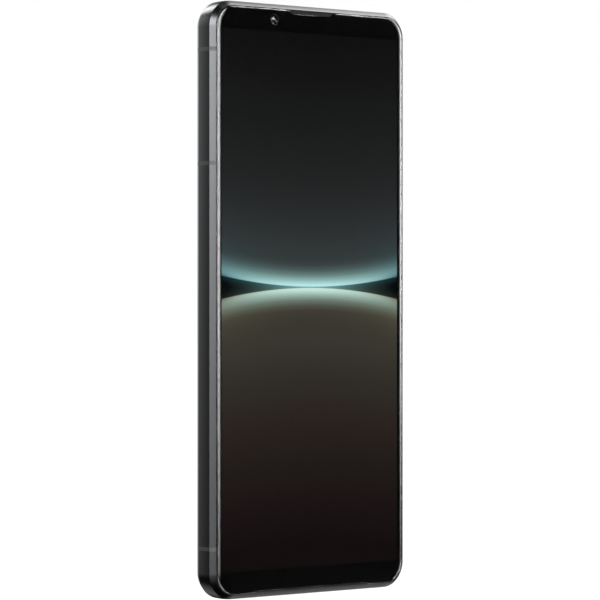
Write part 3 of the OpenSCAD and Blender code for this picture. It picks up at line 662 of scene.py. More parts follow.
def paint_screen(sizes):
    """The lit picture: a dark sky and a dark ground that glow along two shallow arcs."""
    paint = Paint("lit screen")
    at = paint.place()
    across = paint.axis(at, 0) / MM
    along = paint.axis(at, 2) / MM
    bow = across * across
    upper = sizes.upper_arc / MM + bow / (2 * sizes.upper_radius / MM)
    lower = sizes.lower_arc / MM - bow / (2 * sizes.lower_radius / MM)
    rise = along - upper
    fall = lower - along
    reach = sizes.half_height / MM
    sky_tones = [
        (0.0, (190, 240, 240)), (0.35, (186, 236, 237)), (1.6, (144, 185, 180)),
        (2.9, (103, 131, 128)), (4.25, (73, 92, 90)), (5.6, (59, 66, 68)),
        (6.9, (51, 58, 58)), (12.2, (46, 50, 51)), (22.8, (35, 37, 38)),
        (33.5, (28, 30, 29)), (44, (22, 24, 23)), (54.7, (16, 16, 16)), (65.3, (9, 9, 9)),
    ]
    ground_tones = [
        (0.0, (205, 236, 226)), (0.6, (195, 229, 218)), (1.9, (149, 177, 168)),
        (3.2, (107, 122, 112)), (4.6, (79, 83, 72)), (5.9, (64, 60, 52)),
        (8.5, (58, 55, 47)), (13.9, (56, 52, 46)), (24.5, (46, 43, 37)),
        (35, (40, 32, 28)), (45.7, (30, 24, 22)), (56.4, (24, 15, 15)), (67, (14, 7, 7)),
    ]
    sky, ground = (
        paint.node(
            "ShaderNodeValToRGB",
            {"stops": [(s / reach, linear(*c)) for s, c in tones]}, {0: away / reach},
        )
        for tones, away in ((sky_tones, rise), (ground_tones, fall))
    )
    black = (0.0, 0.0, 0.0)
    aside = bow / (sizes.half_width / MM) ** 2
    sky = paint.mix(math.e ** (rise * -0.3) * aside, sky, linear(52, 96, 106))
    ground = paint.mix(math.e ** (fall * -0.25) * aside, ground, linear(100, 100, 78))
    share = rise / (rise + fall + 0.001)
    between = paint.mix(share.above(0.5, 0.5), linear(36, 74, 82), linear(52, 58, 42))
    between = paint.mix(0.7 * aside + 1.6 * share * (1 - share), between, black)
    between = paint.mix(math.e ** (rise + fall), between, linear(140, 195, 190))
    picture = paint.mix(rise.above(0.0, 0.12), between, sky)
    picture = paint.mix(fall.above(0.0, 0.12), picture, ground)
    inside = (1 - abs(across).above(sizes.half_width / MM, 0.02)) * (
        1 - abs(along - (FRONT[0].z + FRONT[1].z) / 2 / MM).above(reach, 0.02)
    )
    facing = paint.axis(paint.node("ShaderNodeNewGeometry", output="Normal"), 1)
    inside = inside * (1 - facing.above(-0.9, 0.05))
    return paint.finish({
        "Base Color": (0.001, 0.001, 0.001), "Roughness": 0.3 + 0.1 * paint.noise(at, 9000.0),
        "Specular IOR Level": 0.0,
        "Emission Color": paint.mix(inside, black, picture),
        "Emission Strength": sizes.strength,
    })


def paint_lens(name, centre_reflection, edge_reflection, body_tint=(0.004, 0.004, 0.006)):
    """Coated glass: a dark dome with a painted reflection in its colour, which turns from one tint
    where it faces the camera to another at its edge.
    """
    paint = Paint(name)
    at = paint.place()
    facing = paint.node("ShaderNodeLayerWeight", None, {"Blend": 0.45}, output="Facing")
    # Painted reflection: the colour takes a tint that changes with the angle to the camera.
    glow = paint.mix(facing, centre_reflection, edge_reflection)
    return paint.finish({
        "Base Color": paint.mix(0.5 + 0.5 * facing, body_tint, glow),
        "Roughness": 0.02 + 0.03 * paint.noise(at, 3000.0),
        "Specular IOR Level": 0.9, "Coat Weight": 1.0, "Coat Roughness": 0.02,
    })


def paint_frosted(name, colour):
    """Etched glass: fine even grain under a faint sheen."""
    paint = Paint(name)
    at = paint.place()
    fine = paint.noise(at, 22000.0, 4.0)
    broad = paint.noise(at, 30.0)
    tone = 0.6 * broad + 0.4 * fine
    dark, light = (tuple(c * share for c in colour) for share in (0.85, 1.1))
    return paint.finish({
        "Base Color": paint.mix(tone, dark, light),
        "Roughness": 0.42 + 0.08 * fine,
        "Specular IOR Level": 0.6,
        "Normal": paint.relief(fine, 0.0012 * MM),
    })


def paint_clear(name, colour=(1.0, 1.0, 1.0), roughness=0.0, smear=0.015):
    """Clear glass with a hardly visible film on its face."""
    paint = Paint(name)
    at = paint.place()
    film = paint.noise(at, 120.0, 3.0)
    return paint.finish({
        "Base Color": paint.mix(film, colour, tuple(c * 0.985 for c in colour)),
        "Roughness": roughness + smear * film.above(0.62, 0.2),
        "Transmission Weight": 1.0, "IOR": 1.5,
    })


def paint_board(name, base, trace):
    """Solder mask over copper tracks, with fine plated dots."""
    paint = Paint(name)
    at = paint.place()
    flat = paint.node("ShaderNodeMapping", None, {"Vector": at, "Scale": (1, 0.02, 1)})
    cells = paint.node(
        "ShaderNodeTexVoronoi", {"distance": "CHEBYCHEV", "feature": "F1"},
        {"Vector": flat, "Scale": 900.0, "Randomness": 0.75}, output="Distance",
    )
    tracks = abs(paint.noise(flat, 260.0, 1.0) - 0.5)
    lines = 1 - tracks.above(0.02, 0.012)
    dots = 1 - cells.above(0.16, 0.03)
    green = paint.mix(lines * 0.6, base, trace)
    return paint.finish({
        "Base Color": paint.mix(dots, green, linear(196, 166, 96)),
        "Metallic": dots * 0.9,
        "Roughness": 0.42 - 0.1 * lines,
        "Normal": paint.relief(lines + dots, 0.015 * MM),
    })


def paint_coil(name, centre, turns_pitch):
    """Wound wire: round turns about a centre, lighter along each crest and darker towards the
    grooves as painted shade.
    """
    paint = Paint(name)
    at = paint.place()
    across = paint.axis(at, 0) - centre.x
    along = paint.axis(at, 2) - centre.z
    away = (across * across + along * along) ** 0.5
    phase = paint.node("ShaderNodeMath", {"operation": "FRACT"}, {0: away / turns_pitch})
    wire = 1 - abs(2 * phase - 1)
    return paint.finish({
        # Painted shade: the copper is lighter on the crest of each turn and darker towards the
        # grooves between turns.
        "Base Color": paint.mix(wire.above(0.4, 0.4), linear(70, 30, 14), linear(196, 108, 60)),
        "Metallic": 0.9, "Roughness": 0.42 - 0.14 * wire,
        "Normal": paint.relief(wire.above(0.5, 0.5), 0.12 * MM),
    })


def paint_cloth(name, colour):
    """Woven sound cloth."""
    paint = Paint(name)
    at = paint.place()
    weave = paint.node(
        "ShaderNodeTexBrick", {"offset": 0.5},
        {"Vector": at, "Scale": 5200.0, "Mortar Size": 0.12}, output="Fac",
    )
    return paint.finish({
        "Base Color": paint.mix(weave, colour, tuple(c * 0.3 for c in colour)),
        "Roughness": 0.6 + 0.2 * weave, "Metallic": 0.4,
        "Normal": paint.relief(1 - weave, 0.01 * MM),
    })


# ---------------------------------------------------------------- pieces

def bulged(start, end, rise, steps=6):
    """Points between two ends of a line in a section, which bulges towards smaller insets."""
    start, end = Vector(start), Vector(end)
    run = end - start
    side = Vector((run.y, -run.x)).normalized()
    if side.x > 0:
        side.negate()
    shares = [k / steps for k in range(1, steps)]
    return [tuple(start + run * t + side * rise * 4 * t * (1 - t)) for t in shares]


def wall_section(sizes):
    """Section of the side wall as (inset, depth) points, round from its rear shoulder."""
    front, back = WALL[0].y, WALL[1].y
    lip = 0.05 * MM
    inner = 0.1 * MM
    shoulder, brow = (sizes.crown, back - sizes.rear_drop), (sizes.crown, front + sizes.front_drop)
    nose, tail = (sizes.front_across, front), (sizes.rear_across, back)
    wall = bulged(shoulder, brow, sizes.crown)
    front_bevel = bulged(brow, nose, sizes.bevel_crown)
    rear_bevel = bulged(tail, shoulder, sizes.bevel_crown)
    points = [
        shoulder, *wall, brow, *front_bevel, nose, (sizes.pocket, front),
        (sizes.pocket, FRONT[0].y + sizes.front_ledge),
        (sizes.wall, FRONT[0].y + sizes.front_ledge),
        (sizes.wall, REAR[1].y - sizes.rear_ledge),
        (sizes.pocket, REAR[1].y - sizes.rear_ledge), (sizes.pocket, back),
        tail, *rear_bevel,
    ]
    edge, flat = sizes.edge, [0] * len(wall)
    radii = [edge, *flat, edge, *flat, lip, lip, 0, inner, inner, 0, lip, lip, *flat]
    return fillet(points, radii)


def body_stations(sizes):
    """Stations round the outside of the side frame."""
    return stations((WALL[0].x, WALL[0].z), (WALL[1].x, WALL[1].z), sizes.corner)


def break_boxes(sizes, gap):
    """The places where the wall is cut for the antennas, wider by a gap on both sides."""
    reach = 2 * sizes.wall
    half = sizes.break_width / 2 + gap
    top, bottom = WALL[1].z - sizes.break_top, sizes.break_bottom
    left = [top, bottom, WALL[1].z - sizes.break_mid]
    return [
        box_solid(
            (side * WALL[1].x - reach / 2, WALL[0].y * 2, z - half),
            (side * WALL[1].x + reach / 2, WALL[1].y * 2, z + half),
        )
        for side, heights in ((-1, left), (1, [top, bottom])) for z in heights
    ]


def flared_pill(centre, along, across, axis, length, width, depth, flare):
    """Cutter for a slot from an outer face inwards, with a chamfered mouth."""
    levels = [(CLEAR, -flare), (0, -flare), (-flare, 0), (-depth, 0)]
    return pill_solid(centre, along, across, axis, length, width, levels)


def wall_openings(sizes):
    """Cutters for the keys, sockets, card tray and microphones."""
    gap, flare, depth = 0.12 * MM, 0.1 * MM, 1.5 * sizes.wall
    cutters = []
    for key, (crown_low, crown_high) in CROWNS.items():
        low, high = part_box(key)
        mouth = Vector((WALL[1].x, (low.y + high.y) / 2, (crown_low.z + crown_high.z) / 2))
        cutters.append(flared_pill(
            mouth, Z_AXIS, Y_AXIS, X_AXIS, crown_high.z - crown_low.z + 2 * gap,
            KEY_WIDTH + 2 * gap, depth, flare,
        ))
    for node, room, reach, edge in (
        ("usb_receptacle", 0.13 * MM, depth, 0.25 * MM), ("sim_tray", gap, 1.6 * MM, 0.06 * MM),
    ):
        low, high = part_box(node)
        mouth = Vector(((low.x + high.x) / 2, (low.y + high.y) / 2, 0))
        cutters.append(flared_pill(
            mouth, X_AXIS, Y_AXIS, -Z_AXIS, high.x - low.x + 2 * room,
            high.y - low.y + 2 * room, reach, edge,
        ))
    tray_gap = 0.2 * MM
    middle, half = (TRAY[0] + TRAY[1]) / 2, TRAY_HALF + Vector((tray_gap, tray_gap))
    cutters.append(box_solid(
        (middle.x - half.x, middle.y - half.y, 0.2 * MM),
        (middle.x + half.x, middle.y + half.y, depth),
    ))
    low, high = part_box("audio_jack")
    audio = Vector(((low.x + high.x) / 2, (low.y + high.y) / 2, WALL[1].z))
    lower_mic = Vector((6.7 * MM, -0.55 * MM, 0))
    upper_mic = Vector((12 * MM, 0, WALL[1].z))
    for mouth, axis, radius, edge in (
        (lower_mic, -Z_AXIS, sizes.mic, 0.05 * MM), (upper_mic, Z_AXIS, sizes.mic, 0.05 * MM),
        (audio, Z_AXIS, 1.8 * MM, 0.12 * MM),
    ):
        cutters.append(turned(
            [(0, CLEAR), (radius + edge, CLEAR), (radius + edge, 0), (radius, -edge),
             (radius, -depth), (0, -depth)],
            mouth, axis,
        ))
    return cutters


class HANDSET_OT_side_frame(bpy.types.Operator):
    """Build the metal side frame, its inner plate and the antenna breaks"""

    bl_idname = "handset.side_frame"
    bl_label = "Side frame"

    def execute(self, context):
        sizes = context.scene.handset_frame
        metal = grained(
            "anodised metal", tuple(sizes.metal), 0.25, 1.0, drift=0.05, grain=14000.0,
            depth=0.0003, spread=0.2,
        )
        places = body_stations(sizes)
        shell = sweep(wall_section(sizes), places, sizes.corner)
        cutters = break_boxes(sizes, 0.008 * MM) + wall_openings(sizes)
        piece("side_frame", combine(shell, cutters), metal, ["mid_frame"])
        inside = stack([
            loop_at(places, sizes.corner, sizes.wall - 0.02 * MM, y) for y in (-0.006, 0.006)
        ])
        core = combine(node_shape("mid_frame"), [inside], "INTERSECT")
        cast = grained(
            "cast plate", linear(120, 122, 124), 0.5, 1.0, drift=0.12, grain=3000.0, depth=0.01
        )
        piece("inner_plate", core, cast, sharp=25)
        insert = grained(
            "antenna plastic", tuple(sizes.insert), 0.42, drift=0.08, grain=9000.0, depth=0.001
        )
        ring = sweep(wall_section(sizes), places, sizes.corner)
        inserts = [
            combine(ring.copy(), [cutter], "INTERSECT") for cutter in break_boxes(sizes, 0)
        ]
        ring.free()
        piece("antenna_inserts", merge(*inserts), insert, ["antenna_breaks"])
        return {"FINISHED"}


def glass_loop(sizes, frame_sizes):
    """Outline of the cover glass, and how wide its rim is at each point."""
    left, right = FRONT[0].x, FRONT[1].x
    foot, top = FRONT[0].z, FRONT[1].z
    corner = frame_sizes.corner - (FRONT[0].x - WALL[0].x)
    ease = 0.8 * MM  # length over which the rim narrows
    thin = 0.12 * MM  # width of the rim along the notch and the slit
    slit, notch = sizes.slit_half, sizes.notch_top
    floor = sizes.notch_floor
    spec = [
        ((left, foot), corner, sizes.rim), ((-slit - ease, foot), 0, sizes.rim),
        ((-slit, foot), 0, thin), ((-slit, foot + sizes.slit_depth), 0, thin),
        ((slit, foot + sizes.slit_depth), 0, thin), ((slit, foot), 0, thin),
        ((slit + ease, foot), 0, sizes.rim), ((right, foot), corner, sizes.rim),
        ((right, top), corner, sizes.rim), ((notch + ease, top), 0, sizes.rim),
        ((notch, top), 0, thin), ((floor, top - sizes.notch_depth), 0, thin),
        ((-floor, top - sizes.notch_depth), 0, thin), ((-notch, top), 0, thin),
        ((-notch - ease, top), 0, sizes.rim), ((left, top), corner, sizes.rim),
    ]
    steps = 24
    loop = fillet([s[0] for s in spec], [s[1] for s in spec], steps)
    widths = []
    for _, radius, width in spec:
        widths += [width] * (steps + 1 if radius else 1)
    return loop, widths


class HANDSET_OT_cover_glass(bpy.types.Operator):
    """Build the front cover glass and the black print under its border"""

    bl_idname = "handset.cover_glass"
    bl_label = "Cover glass"

    def execute(self, context):
        sizes = context.scene.handset_glass
        screen = context.scene.handset_screen
        loop, widths = glass_loop(sizes, context.scene.handset_frame)
        drops = [sizes.rim_drop * (w / sizes.rim) ** 0.5 for w in widths]
        print_room, print_gap = 0.02 * MM, 0.006 * MM
        border, peephole = 0.06 * MM, 1.5 * MM
        face, back = FRONT[0].y, FRONT[1].y - print_room
        clear = paint_clear("cover glass", smear=0.004)
        piece(
            "cover_glass_pane", plate(crowned_levels(loop, widths, drops, face, back)), clear,
            ["cover_glass"],
        )
        ink = grained(
            "black print", (0.0015, 0.0015, 0.0017), 0.5, drift=0.1, grain=9000.0, depth=0.0005,
            Specular_IOR_Level=0.0,
        )
        outer = offset(loop, [border] * len(loop))
        middle = (FRONT[0].z + FRONT[1].z) / 2
        half, tall = screen.half_width, screen.half_height
        window = [(-half, middle - tall), (half, middle - tall), (half, middle + tall),
                  (-half, middle + tall)]
        low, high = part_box("front_camera_lens")
        eye = circle((low.x + high.x) / 2, (low.z + high.z) / 2, peephole, 36)
        near, far = back + print_gap, back + 2 * print_gap
        holes = [through(hole, near, far) for hole in (window, eye)]
        piece("border_print", plate(through(outer, near, far), holes), ink)
        return {"FINISHED"}


def dress(names, material):
    """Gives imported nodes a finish."""
    for name in names:
        data = NODES[name].data
        data.materials.clear()
        data.materials.append(material)


class HANDSET_OT_screen(bpy.types.Operator):
    """Finish the screen panel, its foil and its tape"""

    bl_idname = "handset.screen"
    bl_label = "Screen"

    def execute(self, context):
        dress(["display_panel"], paint_screen(context.scene.handset_screen))
        dress(["display_backing"], grained(
            "copper foil", linear(186, 118, 82), 0.32, 1.0, grain=2500.0, depth=0.006
        ))
        dress(["display_adhesive", "rear_adhesive"], grained(
            "foam tape", linear(26, 26, 27), 0.8, grain=5000.0, depth=0.02
        ))
        return {"FINISHED"}


class HANDSET_OT_sound_meshes(bpy.types.Operator):
    """Build the perforated meshes of the earpiece and the loudspeaker"""

    bl_idname = "handset.sound_meshes"
    bl_label = "Sound meshes"

    def execute(self, context):
        sizes = context.scene.handset_glass
        steel = grained(
            "black sound mesh", linear(12, 12, 13), 0.6, grain=9000.0, depth=0.002,
            Specular_IOR_Level=0.15,
        )
        low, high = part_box("earpiece_mesh")
        pitch = 0.3 * MM
        floor_half = sizes.notch_floor - 0.1 * MM
        slope = (sizes.notch_top - sizes.notch_floor) / sizes.notch_depth
        columns = int(2 * floor_half / pitch)
        rows = int((high.z - low.z) / pitch)
        middle = (low.z + high.z) / 2
        face = low.y

        def notch_place(p):
            grow = 1 + slope * (p.y + rows * pitch / 2) / (columns * pitch / 2)
            return Vector((p.x * grow, face, middle + p.y))

        thickness = Y_AXIS * (high.y - low.y)
        piece(
            "earpiece_grille",
            perforated(columns, rows, pitch, 0.1 * MM, notch_place, thickness), steel,
            ["earpiece_mesh"],
        )
        low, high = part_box("loudspeaker_mesh")
        slit_pitch = high.z - low.z
        count = int((high.x - low.x) / slit_pitch)
        z, y = (low.z + high.z) / 2, low.y

        def slit_place(p):
            return Vector((p.x, y, z + p.y))

        piece(
            "loudspeaker_grille",
            perforated(count, 1, slit_pitch, 0.15 * MM, slit_place, thickness), steel,
            ["loudspeaker_mesh"],
        )
        return {"FINISHED"}


class HANDSET_OT_front_camera(bpy.types.Operator):
    """Build the front camera with its domed lens, and finish the light sensor"""

    bl_idname = "handset.front_camera"
    bl_label = "Front camera"

    def execute(self, context):
        low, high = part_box("front_camera")
        lens_low, lens_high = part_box("front_camera_lens")
        radius = (lens_high.x - lens_low.x) / 2
        base = Vector(((lens_low.x + lens_high.x) / 2, 0, (lens_low.z + lens_high.z) / 2))
        case_face, foot, barrel = 2.05 * MM, 1 * MM, 1.35 * MM
        top = -low.y
        shoulder, step, seat = top - 0.02 * MM, top - 0.1 * MM, top - 0.38 * MM
        eye = radius - 0.3 * MM
        case = softened(box_solid((low.x, -case_face, low.z), tuple(high)), 0.15 * MM)
        ring = turned(
            [
                (0, foot), (barrel, foot), (barrel, step), (barrel - 0.08 * MM, shoulder),
                (radius + 0.12 * MM, shoulder), (radius, step),
                (radius - 0.18 * MM, top - 0.22 * MM), (eye, seat), (0, seat),
            ],
            base, -Y_AXIS,
        )
        black = grained(
            "lens barrel black", linear(14, 14, 15), 0.35, grain=8000.0, depth=0.002,
            Specular_IOR_Level=0.3,
        )
        piece("front_camera_body", merge(case, ring), black, ["front_camera"])
        lens = dome(eye, top - 0.06 * MM, 0.26 * MM, seat + 0.01 * MM)
        # The two tints are the front lens's painted reflection: where it faces the camera, and at
        # its edge.
        piece(
            "front_camera_dome", turned(lens, base, -Y_AXIS),
            paint_lens("front lens", linear(16, 24, 44), linear(70, 90, 120)),
            ["front_camera_lens"],
        )
        dress(["proximity_sensor"], grained(
            "sensor window", linear(40, 8, 12), 0.12, drift=0.2, grain=3000.0, depth=0.001,
            Coat_Weight=1.0,
        ))
        return {"FINISHED"}


class HANDSET_OT_side_keys(bpy.types.Operator):
    """Build the volume, power and shutter keys and the fingerprint sensor"""

    bl_idname = "handset.side_keys"
    bl_label = "Side keys"

    def execute(self, context):
        metal = bpy.data.materials["anodised metal"]
        rim, pad_gap = 0.4 * MM, 0.03 * MM
        for key, (crown_low, crown_high) in CROWNS.items():
            low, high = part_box(key)
            centre = Vector((0, (low.y + high.y) / 2, (crown_low.z + crown_high.z) / 2))
            crown_long = crown_high.z - crown_low.z
            top, rounding = high.x, 0.3 * MM
            if key == "power_key":
                top, rounding = WALL[1].x - 0.05 * MM, 0.12 * MM
            body = pill_solid(
                centre, Z_AXIS, Y_AXIS, X_AXIS, crown_long, KEY_WIDTH,
                edge_levels(low.x + 0.1 * MM, top, 0, rounding),
            )
            flange_long = 6 * MM if key == "volume_key" else high.z - low.z
            flange = pill_solid(
                centre, Z_AXIS, Y_AXIS, X_AXIS, flange_long, high.y - low.y,
                edge_levels(low.x, low.x + 0.5 * MM, 0.05 * MM, 0.05 * MM, 2),
            )
            shape = combine(body, [flange], "UNION")
            if key == "power_key":
                recess = pill_solid(
                    centre, Z_AXIS, Y_AXIS, X_AXIS, crown_long - 2 * rim, KEY_WIDTH - 2 * rim,
                    [(top - 0.22 * MM, 0), (top + CLEAR, 0)],
                )
                shape = combine(shape, [recess])
            piece(key + "_cap", shape, metal, [key], key)
        low, high = SENSOR
        inset = 2 * (rim + pad_gap)
        pad = pill_solid(
            Vector((0, (low.y + high.y) / 2, (low.z + high.z) / 2)), Z_AXIS, Y_AXIS, X_AXIS,
            high.z - low.z - inset, KEY_WIDTH - inset,
            edge_levels(WALL[1].x - 0.26 * MM, WALL[1].x - 0.14 * MM, 0, 0.04 * MM, 2),
        )
        piece(
            "fingerprint_pad", pad,
            grained("sensor pad", linear(22, 23, 25), 0.36, grain=16000.0, depth=0.0004,
                    Coat_Weight=0.4, Coat_Roughness=0.3),
            ["fingerprint_sensor"], "power_key",
        )
        return {"FINISHED"}


class HANDSET_OT_sockets(bpy.types.Operator):
    """Build the charging socket with its contacts, and finish the audio socket"""

    bl_idname = "handset.sockets"
    bl_label = "Sockets"

    def execute(self, context):
        low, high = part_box("usb_receptacle")
        centre = (low + high) / 2
        across, tall = high.x - low.x, high.y - low.y
        sheet, flare, end_wall = 0.3 * MM, 0.12 * MM, 0.6 * MM
        middle = Vector((centre.x, centre.y, 0))
        shell = pill_solid(
            middle, X_AXIS, Y_AXIS, Z_AXIS, across, tall,
            edge_levels(low.z, high.z, 0.1 * MM, 0.05 * MM),
        )
        hollow = pill_solid(
            middle, X_AXIS, Y_AXIS, Z_AXIS, across - 2 * sheet, tall - 2 * sheet,
            [(low.z - CLEAR, -flare), (low.z, -flare), (low.z + flare, 0),
             (high.z - end_wall, 0)],
        )
        steel = grained("drawn steel", linear(176, 177, 178), 0.24, 1.0, grain=7000.0,
                        depth=0.001, stretch=(1, 1, 0.1))
        piece("charging_shell", combine(shell, [hollow]), steel, ["usb_receptacle"])
        low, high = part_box("usb_tongue")
        tongue = softened(box_solid(low, high), 0.1 * MM)
        plastic = grained("socket plastic", linear(24, 24, 25), 0.4, grain=5000.0, depth=0.004)
        piece("charging_tongue", tongue, plastic, ["usb_tongue"])
        count, pitch, half, proud = 12, 0.5 * MM, 0.125 * MM, 0.02 * MM
        start, end = low.z + 0.5 * MM, high.z - 0.3 * MM
        strips = []
        for i in range(count):
            x = centre.x + (i - (count - 1) / 2) * pitch
            for y in (low.y, high.y):
                strip = box_solid((x - half, y - proud, start), (x + half, y + proud, end))
                strips.append(softened(strip, 0.008 * MM, 1))
        gold = grained("gold plating", linear(214, 172, 92), 0.22, 1.0, grain=9000.0,
                       depth=0.001)
        piece("charging_contacts", merge(*strips), gold)
        dress(["audio_jack"], plastic)
        dress(["usb_seal", "audio_jack_seal", "sim_tray_seal"], grained(
            "seal rubber", linear(92, 34, 30), 0.7, grain=2500.0, depth=0.02
        ))
        dress(["microphones", "dome_switches"], gold)
        dress(["tray_reader", "haptic_housing", "bracket_screws", "board_shields"], grained(
            "tinned steel", linear(188, 189, 190), 0.3, 1.0, grain=1800.0, depth=0.006
        ))
        return {"FINISHED"}


class HANDSET_OT_card_tray(bpy.types.Operator):
    """Build the card tray with its door, pockets and pull lip"""

    bl_idname = "handset.card_tray"
    bl_label = "Card tray"

    def execute(self, context):
        low, high = TRAY
        centre = Vector(((low.x + high.x) / 2, (low.y + high.y) / 2, 0))
        door_t = 1.1 * MM
        door = pill_solid(
            centre, X_AXIS, Y_AXIS, Z_AXIS, high.x - low.x, DOOR_HEIGHT,
            edge_levels(0, door_t, 0.09 * MM, 0.05 * MM),
        )
        lip_aside, lip_long, lip_wide, lip_deep, flare = (
            mm * MM for mm in (5.2, 3.4, 0.7, 0.45, 0.08)
        )
        lip = pill_solid(
            centre + X_AXIS * lip_aside, X_AXIS, Y_AXIS, Z_AXIS, lip_long, lip_wide,
            [(-CLEAR, -flare), (0, -flare), (lip_deep, 0)],
        )
        piece("card_tray_door", combine(door, [lip]), bpy.data.materials["anodised metal"],
              body="card_tray")
        bed = softened(box_solid(
            (centre.x - TRAY_HALF.x, centre.y - TRAY_HALF.y, door_t - 0.1 * MM),
            (centre.x + TRAY_HALF.x, centre.y + TRAY_HALF.y, high.z),
        ), 0.12 * MM)
        pocket_back, notch, slot_wide = centre.y + 0.35 * MM, 1.4 * MM, 4.4 * MM
        pockets = []
        for half, start, end in ((6.2, 3.6, 12.4), (5.6, 13.2, 22.4)):
            left, right = centre.x - half * MM, centre.x + half * MM
            start, end = start * MM, end * MM
            outline = fillet(
                [(left, start), (right, start), (right, end - notch), (right - notch, end),
                 (left, end)],
                [0.5 * MM, 0.5 * MM, 0.3 * MM, 0.3 * MM, 0.5 * MM],
            )
            pockets.append(stack(through(outline, pocket_back, centre.y - CLEAR)))
            pockets.append(pill_solid(
                Vector((centre.x, 0, (start + end) / 2)), X_AXIS, Z_AXIS, Y_AXIS,
                right - left - 4 * MM, slot_wide, [(centre.y, 0), (centre.y + CLEAR, 0)],
            ))
        plastic = grained("tray plastic", linear(46, 47, 49), 0.45, grain=3000.0, depth=0.006)
        piece("card_tray_bed", combine(bed, pockets), plastic,
              ["sim_tray"], "card_tray")
        return {"FINISHED"}


def island_pill(low, high, inset, depth):
    """Outline of the camera island, drawn in by an inset, without points that repeat."""
    radius = (high.x - low.x) / 2
    places = stations((low.x, low.z), (high.x, high.z), radius)
    loop = loop_at(places, radius, inset, depth)
    return [p for i, p in enumerate(loop) if (p - loop[i - 1]).length > SAME]


class HANDSET_OT_rear_glass(bpy.types.Operator):
    """Build the frosted rear glass with its opening for the camera island"""

    bl_idname = "handset.rear_glass"
    bl_label = "Rear glass"

    def execute(self, context):
        sizes = context.scene.handset_glass
        corner = context.scene.handset_frame.corner - (REAR[0].x - WALL[0].x)
        places = stations((REAR[0].x, REAR[0].z), (REAR[1].x, REAR[1].z), corner)
        loop = [Vector((p.x, p.z)) for p in loop_at(places, corner)]
        widths = [sizes.rear_rim] * len(loop)
        drops = [0.25 * MM] * len(loop)
        levels = crowned_levels(loop, widths, drops, REAR[1].y, REAR[0].y)
        rim_wall, gap = 0.6 * MM, 0.08 * MM
        grow = (X_AXIS + Z_AXIS) * (rim_wall + 2 * gap)
        hole = [island_pill(ISLAND[0] - grow, ISLAND[1] + grow, 0, box.y) for box in REAR]
        frosted = paint_frosted("frosted glass", tuple(sizes.rear_colour))
        piece("rear_glass_pane", plate(levels, [hole]), frosted, ["rear_glass"])
        return {"FINISHED"}


class HANDSET_OT_camera_island(bpy.types.Operator):
    """Build the raised camera island: rim, glass, black print and flash"""

    bl_idname = "handset.camera_island"
    bl_label = "Camera island"

    def execute(self, context):
        metal = bpy.data.materials["anodised metal"]
        trim = softened(node_shape("camera_trim"), 0.1 * MM)
        piece("island_rim", trim, metal, ["camera_trim"])
        low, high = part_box("flash_lens")
        flash = (low + high) / 2
        flash_r = (high.x - low.x) / 2
        mic_aside, mic_down, mic_r, flash_gap = 2.4 * MM, 4 * MM, 0.45 * MM, 0.08 * MM
        island_x = (ISLAND[0].x + ISLAND[1].x) / 2
        spots = [
            (flash.x, flash.z, flash_r + flash_gap),
            (island_x + mic_aside, TRIM[1].z - mic_down, mic_r),
        ]
        face, back = ISLAND[1].y, ISLAND[0].y + 0.03 * MM
        levels = [
            island_pill(*ISLAND, inset, y)
            for y, inset in edge_levels(back, face, 0.03 * MM, 0.15 * MM)
        ]
        holes = [through(circle(*spot), back, face) for spot in spots]
        clear = paint_clear("island glass")
        piece("island_glass", plate(levels, holes), clear, ["camera_glass"])
        near, far = ISLAND[0].y + 0.004 * MM, ISLAND[0].y + 0.02 * MM
        for lens in LENSES:
            lens_low, lens_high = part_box(lens)
            middle = (lens_low + lens_high) / 2
            spots.append((middle.x, middle.z, (lens_high.x - lens_low.x) / 2 + 0.05 * MM))
        holes = [through(circle(*spot), near, far) for spot in spots]
        outer = [island_pill(*ISLAND, 0.05 * MM, y) for y in (near, far)]
        ink = bpy.data.materials["black print"]
        piece("island_print", plate(outer, holes), ink)
        back, face, edge, rings = low.y + 0.1 * MM, high.y, 0.08 * MM, 5
        profile = [(0, back), (flash_r, back), (flash_r, face - edge), (flash_r - edge, face)]
        for k in range(rings, 0, -1):
            ridge = flash_r * 0.9 * k / rings
            profile += [(ridge, face - 0.02 * MM), (ridge - 0.05 * MM, face - 0.12 * MM)]
        profile.append((0, face - 0.05 * MM))
        piece("flash_cover", turned(profile, Vector((flash.x, 0, flash.z)), Y_AXIS),
              paint_clear("flash cover", (0.96, 0.93, 0.86), 0.18, 0.1),
              ["flash_lens"])
        dress(["flash_led"], grained(
            "flash phosphor", linear(238, 214, 120), 0.6, grain=7000.0, depth=0.01
        ))
        return {"FINISHED"}


